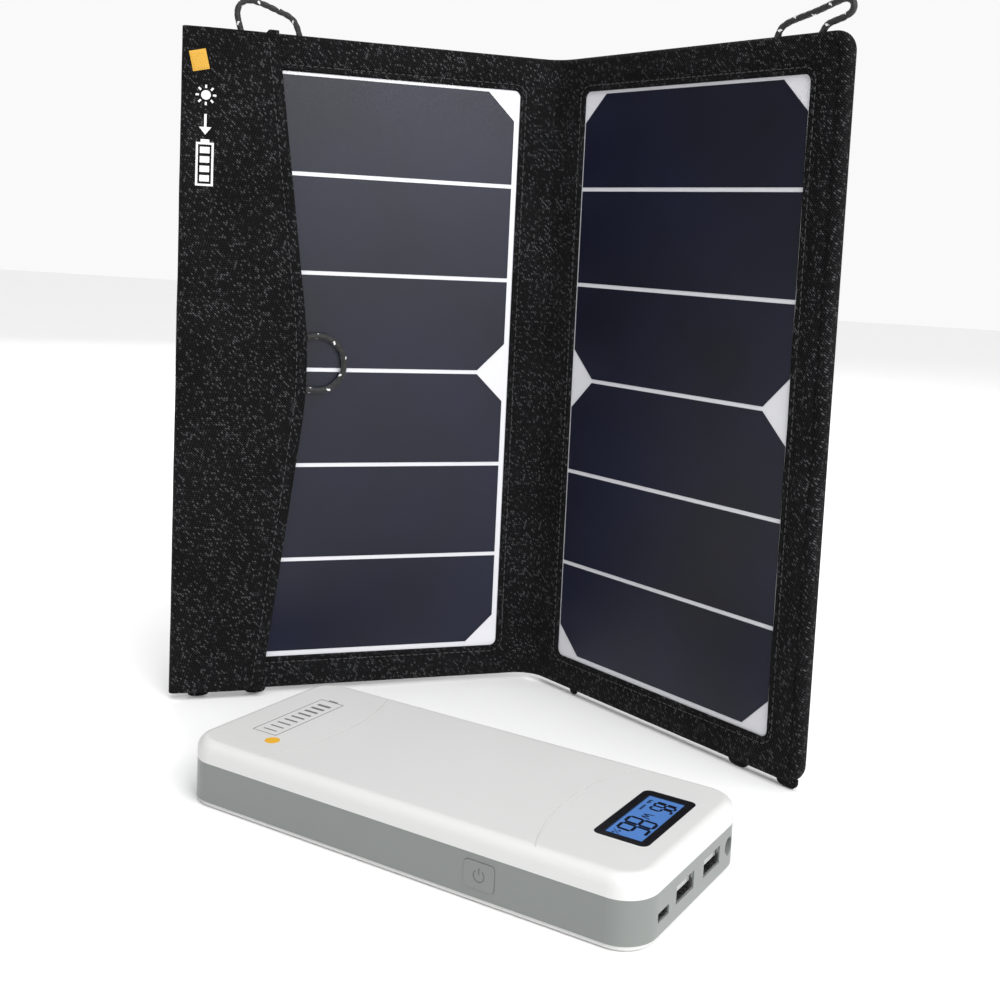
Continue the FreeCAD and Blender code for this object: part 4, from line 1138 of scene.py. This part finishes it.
class KIT_OT_pocket(bpy.types.Operator):
    """Sewn pocket on the back of the left panel"""
    bl_idname = "kit.make_pocket"
    bl_label = "Back pocket"

    def execute(self, context):
        sizes = context.scene.sewing_sizes
        start, width, bottom, height, depth = 0.034, 0.092, 0.040, 0.080, 0.017
        inset, middle = sizes.cloth, width / 2
        profile = self.profile(width, depth)
        front, back, charts = [], [], []
        rows = 44
        for i in range(rows + 1):
            v = i / rows if i > 6 else (i / 6) ** 2 * 6 / rows
            front_row, back_row, chart = [], [], []
            z = bottom + height * v
            foot = 1 - rolled(v * height, 0.0022)
            mouth = 0.0007 * math.exp(-((v - 0.945) / 0.02) ** 2)
            lip = 0.0005 if v > 0.95 else 0.0
            swell = 1.0 + 0.05 * math.sin(math.pi * v)
            travel = 0.0
            for j, (x, d) in enumerate(profile):
                reach = d * foot * swell
                wave = ripple(x, z, 41, 0.0003) if d > 0.004 else 0.0
                outer = CASE_DEPTH + max(reach + wave + lip - mouth, inset)
                front_row.append(case_point("left", start + x, outer, z))
                inner_x = middle + (x - middle) * (1 - 2 * inset / width)
                inner = CASE_DEPTH + max(reach + wave - inset, 0.0)
                back_row.append(case_point("left", start + inner_x, inner, z))
                if j:
                    travel += math.hypot(x - profile[j - 1][0], d - profile[j - 1][1])
                chart.append((-travel, z))
            front.append(front_row)
            back.append(back_row)
            charts.append(chart)
        pocket = closed_sheet("back_pocket_sewn", front, back, charts)
        pocket.data.materials.append(case_cloth(context))
        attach(pocket, "left_panel")
        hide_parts("back_pocket")
        end = start + width
        line = [(start - 0.002, bottom + height), (start - 0.002, bottom + 0.002),
                (start + 0.002, bottom - 0.0015), (end - 0.002, bottom - 0.0015),
                (end + 0.002, bottom + 0.002), (end + 0.002, bottom + height)]
        places = []
        for a, b in zip(line, line[1:]):
            for t in np.linspace(0, 1, 24, endpoint=False):
                out, z = a[0] + (b[0] - a[0]) * t, a[1] + (b[1] - a[1]) * t
                places.append((case_point("left", out, CASE_DEPTH + 0.0011, z), facing("left", 1)))
        thread = stitch_row("pocket_seam", places, sizes, sewing_thread(context))
        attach(thread, "left_panel")
        return {"FINISHED"}

    def profile(self, width, depth):
        """The pocket's section: a flange, a rounded side, the face and the same again."""
        radius = 0.005
        points = [(-0.004, 0.0009), (-0.0025, 0.0009), (-0.0008, 0.0010), (-0.0001, 0.0020)]
        points += [(0.0, d) for d in np.linspace(0.004, depth - radius, 6)]
        for k in range(1, 7):
            angle = math.pi / 2 * k / 6
            points.append((radius - radius * math.cos(angle), depth - radius + radius * math.sin(angle)))
        face = [(x, depth + 0.0008 * math.sin(math.pi * (x - radius) / (width - 2 * radius)))
                for x in np.linspace(radius, width - radius, 34)[1:-1]]
        return points + face + [(width - x, d) for x, d in reversed(points)]


# ---------------------------------------------------------------- power bank marks and display

SEGMENTS = {"0": "abcdef", "1": "bc", "5": "acdfg", "6": "acdefg", "8": "abcdefg"}


class KIT_OT_display(bpy.types.Operator):
    """Digits on the power bank's display and its printed marks"""
    bl_idname = "kit.make_display"
    bl_label = "Display and marks"

    def execute(self, context):
        colours = context.scene.kit_colours
        ink = keep("display_ink", print_material, (0.004, 0.005, 0.012, 1), 0.35)
        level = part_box("bank_display_panel")[1].z - BANK_BASE.z
        # text runs towards -Y with its top towards +X, in millimetres from the display's centre
        centre_up, centre_along = 74.5, 1.8
        outlines = self.number("18.5", (16.0, -2.3), 7.6, 2.3, 3.2)
        outlines += self.letter_w((3.3, -2.0), 3.4, 3.6)
        outlines += self.number("86", (-1.6, -4.9), 10.2, 4.3, 5.6)
        outlines += self.percent((-13.2, -5.0), 2.9)
        outlines += self.small_marks()
        shapes = []
        for outline in outlines:
            shapes.append([((centre_up + up) / 1000, (centre_along + along) / 1000) for along, up in outline])
        digits = flat_print("display_digits", shapes, level + 0.00002, 0.00006, bank_matrix(), ink)
        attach(digits, "power_bank")
        self.battery_mark(colours)
        self.power_mark()
        return {"FINISHED"}

    def number(self, text, place, tall, wide, pitch):
        """Seven-segment figures: place is (along, up) of the first figure's foot, in millimetres."""
        outlines = []
        along, up = place
        thick = 0.32 + tall * 0.075
        gap, lean = 0.10, 0.05
        half, h = tall / 2, thick / 2
        corners = {"a": ((0, tall), (wide, tall)), "g": ((0, half), (wide, half)), "d": ((0, 0), (wide, 0)),
                   "f": ((0, half), (0, tall)), "b": ((wide, half), (wide, tall)), "e": ((0, 0), (0, half)),
                   "c": ((wide, 0), (wide, half))}
        for character in text:
            if character == ".":
                foot = along + (pitch - wide) * 0.75
                outlines.append(box_outline(foot, foot - thick * 0.7, up, up + thick * 0.8))
                continue
            for key in SEGMENTS[character]:
                (x0, y0), (x1, y1) = corners[key]
                dx, dy = x1 - x0, y1 - y0
                size = math.hypot(dx, dy)
                dx, dy = dx / size, dy / size
                x0, y0, x1, y1 = x0 + dx * gap, y0 + dy * gap, x1 - dx * gap, y1 - dy * gap
                hexagon = [(x0, y0), (x0 + (dx - dy) * h, y0 + (dy + dx) * h),
                           (x1 - (dx + dy) * h, y1 - (dy - dx) * h), (x1, y1),
                           (x1 - (dx - dy) * h, y1 - (dy + dx) * h), (x0 + (dx + dy) * h, y0 + (dy - dx) * h)]
                outlines.append([(along - (x + y * lean), up + y) for x, y in hexagon])
            along -= pitch
        return outlines

    def letter_w(self, place, tall, wide):
        along, up = place
        feet = [(0, tall), (wide * 0.25, 0), (wide * 0.5, tall * 0.7), (wide * 0.75, 0), (wide, tall)]
        corners = [(along - x, up + y) for x, y in feet]
        return [stroke(a, b, 0.42) for a, b in zip(corners, corners[1:])]

    def percent(self, place, tall):
        along, up = place
        parts = [stroke((along, up), (along - tall * 0.9, up + tall), 0.28)]
        for x, y in ((0.15, 0.75), (0.75, 0.25)):
            ring = disc((along - tall * x, up + tall * y), 0.40, 6)
            parts += [stroke(a, b, 0.26) for a, b in zip(ring, ring[1:] + ring[:1])]
        return parts

    def small_marks(self):
        """A row of small status marks along the display's foot: (start, foot, width, height) each."""
        marks = [(13.6 - k * 0.8, -5.2, 0.5, 1.3 if k % 2 == 0 else 0.8) for k in range(4)]
        marks += [(9.0 - k * 0.9, -5.1, 0.6, 0.8) for k in range(5)]
        return [box_outline(along, along - wide, up, up + tall) for along, up, wide, tall in marks]

    def battery_mark(self, colours):
        """Grey outlined print at the far left end: a long box with charge bars."""
        x0, x1, y0, y1 = -0.0795, -0.0680, -0.0195, 0.0200
        outlines = frame_bars(x0, x1, y0, y1, 0.00035)
        for k in range(9):
            low = y0 + 0.0030 + k * 0.0038
            outlines.append(box_outline(x0 + 0.0026, x1 - 0.0026, low, low + 0.0007 + 0.00012 * k))
        outlines.append(box_outline(x0 + 0.0035, x1 - 0.0035, y1, y1 + 0.0010))
        ink = keep("grey_print", print_material, tuple(colours.mark), 0.5)
        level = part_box("bank_top_cover")[1].z - BANK_BASE.z
        mark = flat_print("bank_battery_print", outlines, level - PRINT_SINK, PRINT_THICKNESS, bank_matrix(),
                          ink)
        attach(mark, "power_bank")
        amber = keep("amber_print", print_material, tuple(colours.tag), 0.5)
        dot = flat_print("bank_amber_print", [disc((-0.0660, -0.0235), 0.0028, 32)], level - PRINT_SINK,
                         PRINT_THICKNESS, bank_matrix(), amber)
        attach(dot, "power_bank")

    def power_mark(self):
        """Moulded power symbol on the button: an open ring and a bar."""
        x, y = 0.0368, 0.0096
        inner, outer, half_gap, pieces = 0.0018, 0.0022, 38, 22
        outlines = []
        for k in range(pieces):
            a, b = (math.radians(90 + half_gap + (360 - 2 * half_gap) * n / pieces) for n in (k, k + 1))
            outlines.append([(x + r * math.cos(t), y + r * math.sin(t))
                             for r, t in ((inner, a), (outer, a), (outer, b), (inner, b))])
        outlines.append(box_outline(x - 0.0002, x + 0.0002, y + 0.0004, y + 0.0026))
        upright = Matrix.Rotation(math.pi / 2, 4, "X")
        matrix = bank_matrix() @ Matrix.Translation((0, -0.04025, 0)) @ upright
        ink = keep("symbol_print", print_material, (0.10, 0.11, 0.105, 1), 0.4)
        mark = flat_print("button_symbol", outlines, -PRINT_SINK, 0.00008, matrix, ink)
        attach(mark, "power_button")


# ---------------------------------------------------------------- finishes of the CAD pieces

class KIT_OT_finishes(bpy.types.Operator):
    """Finishes of the hard pieces: cells, backsheet, power bank, regulator and inner parts"""
    bl_idname = "kit.make_finishes"
    bl_label = "Hard finishes"

    def execute(self, context):
        colours = context.scene.kit_colours
        cell = cell_material("satin_cell", tuple(colours.cell))
        sheet = sheet_material("backsheet", tuple(colours.sheet))
        shell = plastic_material("bank_shell", tuple(colours.shell), 0.42, 0.10, 2400.0, 0.02, 0.1)
        band = plastic_material("bank_band", tuple(colours.band), 0.36, 0.10, 2400.0, 0.06, 0.1)
        bezel = plastic_material("bezel_gloss", (0.010, 0.010, 0.011), 0.16, 0.02, 900.0, 0.2, 0.5)
        display = display_material("display_lit", tuple(colours.display))
        black = plastic_material("moulded_black", (0.014, 0.014, 0.015), 0.5, 0.3, 1500.0, 0.2)
        steel = metal_material("plated_steel", (0.55, 0.55, 0.56), 0.28)
        copper = metal_material("tinned_copper", (0.68, 0.50, 0.36), 0.35)
        foil = metal_material("pouch_foil", (0.62, 0.62, 0.64), 0.38, 300.0)
        board = plastic_material("green_board", (0.02, 0.13, 0.05), 0.4, 0.1, 700.0, 0.2, 0.3)
        corrugated = plastic_material("corrugated_board", (0.03, 0.03, 0.033), 0.6, 0.3, 700.0, 0.2)
        for side in ("left", "right"):
            paint(side + "_cells", cell)
            paint(side + "_laminate", sheet)
            paint(side + "_stiffener", corrugated)
            paint(side + "_terminal_cover", black)
            paint(side + "_leads", copper)
        finishes = {
            "spine_leads": copper, "closing_button": black, "regulator_case": black, "regulator_lid": black,
            "regulator_usb_socket": steel, "regulator_board": board, "bank_top_cover": shell,
            "bank_base_plate": shell, "bank_side_band": band, "bank_power_button": band,
            "bank_display_bezel": bezel, "bank_display_panel": display, "bank_button_switch": black,
            "bank_usb_socket_far": steel, "bank_usb_socket_near": steel, "bank_micro_usb_socket": steel,
            "bank_dc_jack": band, "bank_circuit_board": board, "bank_cell_pack": foil,
            "bank_case_screws": steel}
        for node, material in finishes.items():
            paint(node, material)
            only_active(frame["nodes"][node])
            bpy.ops.object.shade_smooth_by_angle(angle=math.radians(30))
        return {"FINISHED"}


# ---------------------------------------------------------------- sidebar

STEPS = ("make_stage", "make_cords", "make_case", "make_flap", "make_feet", "make_pocket", "make_display",
         "make_finishes")


class KIT_PT_sidebar(bpy.types.Panel):
    bl_label = "Solar kit"
    bl_idname = "KIT_PT_sidebar"
    bl_space_type = "VIEW_3D"
    bl_region_type = "UI"
    bl_category = "Solar kit"

    def draw(self, context):
        for step in STEPS:
            self.layout.operator("kit." + step)
        for group in (context.scene.sewing_sizes, context.scene.cord_sizes, context.scene.kit_colours):
            for name in group.__annotations__:
                self.layout.prop(group, name)


CLASSES = (SewingSizes, CordSizes, KitColours, KIT_OT_stage, KIT_OT_cords, KIT_OT_case, KIT_OT_flap,
           KIT_OT_feet, KIT_OT_pocket, KIT_OT_display, KIT_OT_finishes, KIT_PT_sidebar)


def register():
    for kind in CLASSES:
        bpy.utils.register_class(kind)
    bpy.types.Scene.sewing_sizes = PointerProperty(type=SewingSizes)
    bpy.types.Scene.cord_sizes = PointerProperty(type=CordSizes)
    bpy.types.Scene.kit_colours = PointerProperty(type=KitColours)


def unregister():
    for name in ("sewing_sizes", "cord_sizes", "kit_colours"):
        delattr(bpy.types.Scene, name)
    for kind in reversed(CLASSES):
        bpy.utils.unregister_class(kind)


def main():
    register()
    for step in STEPS:
        getattr(bpy.ops.kit, step)()


if __name__ == "__main__":
    main()
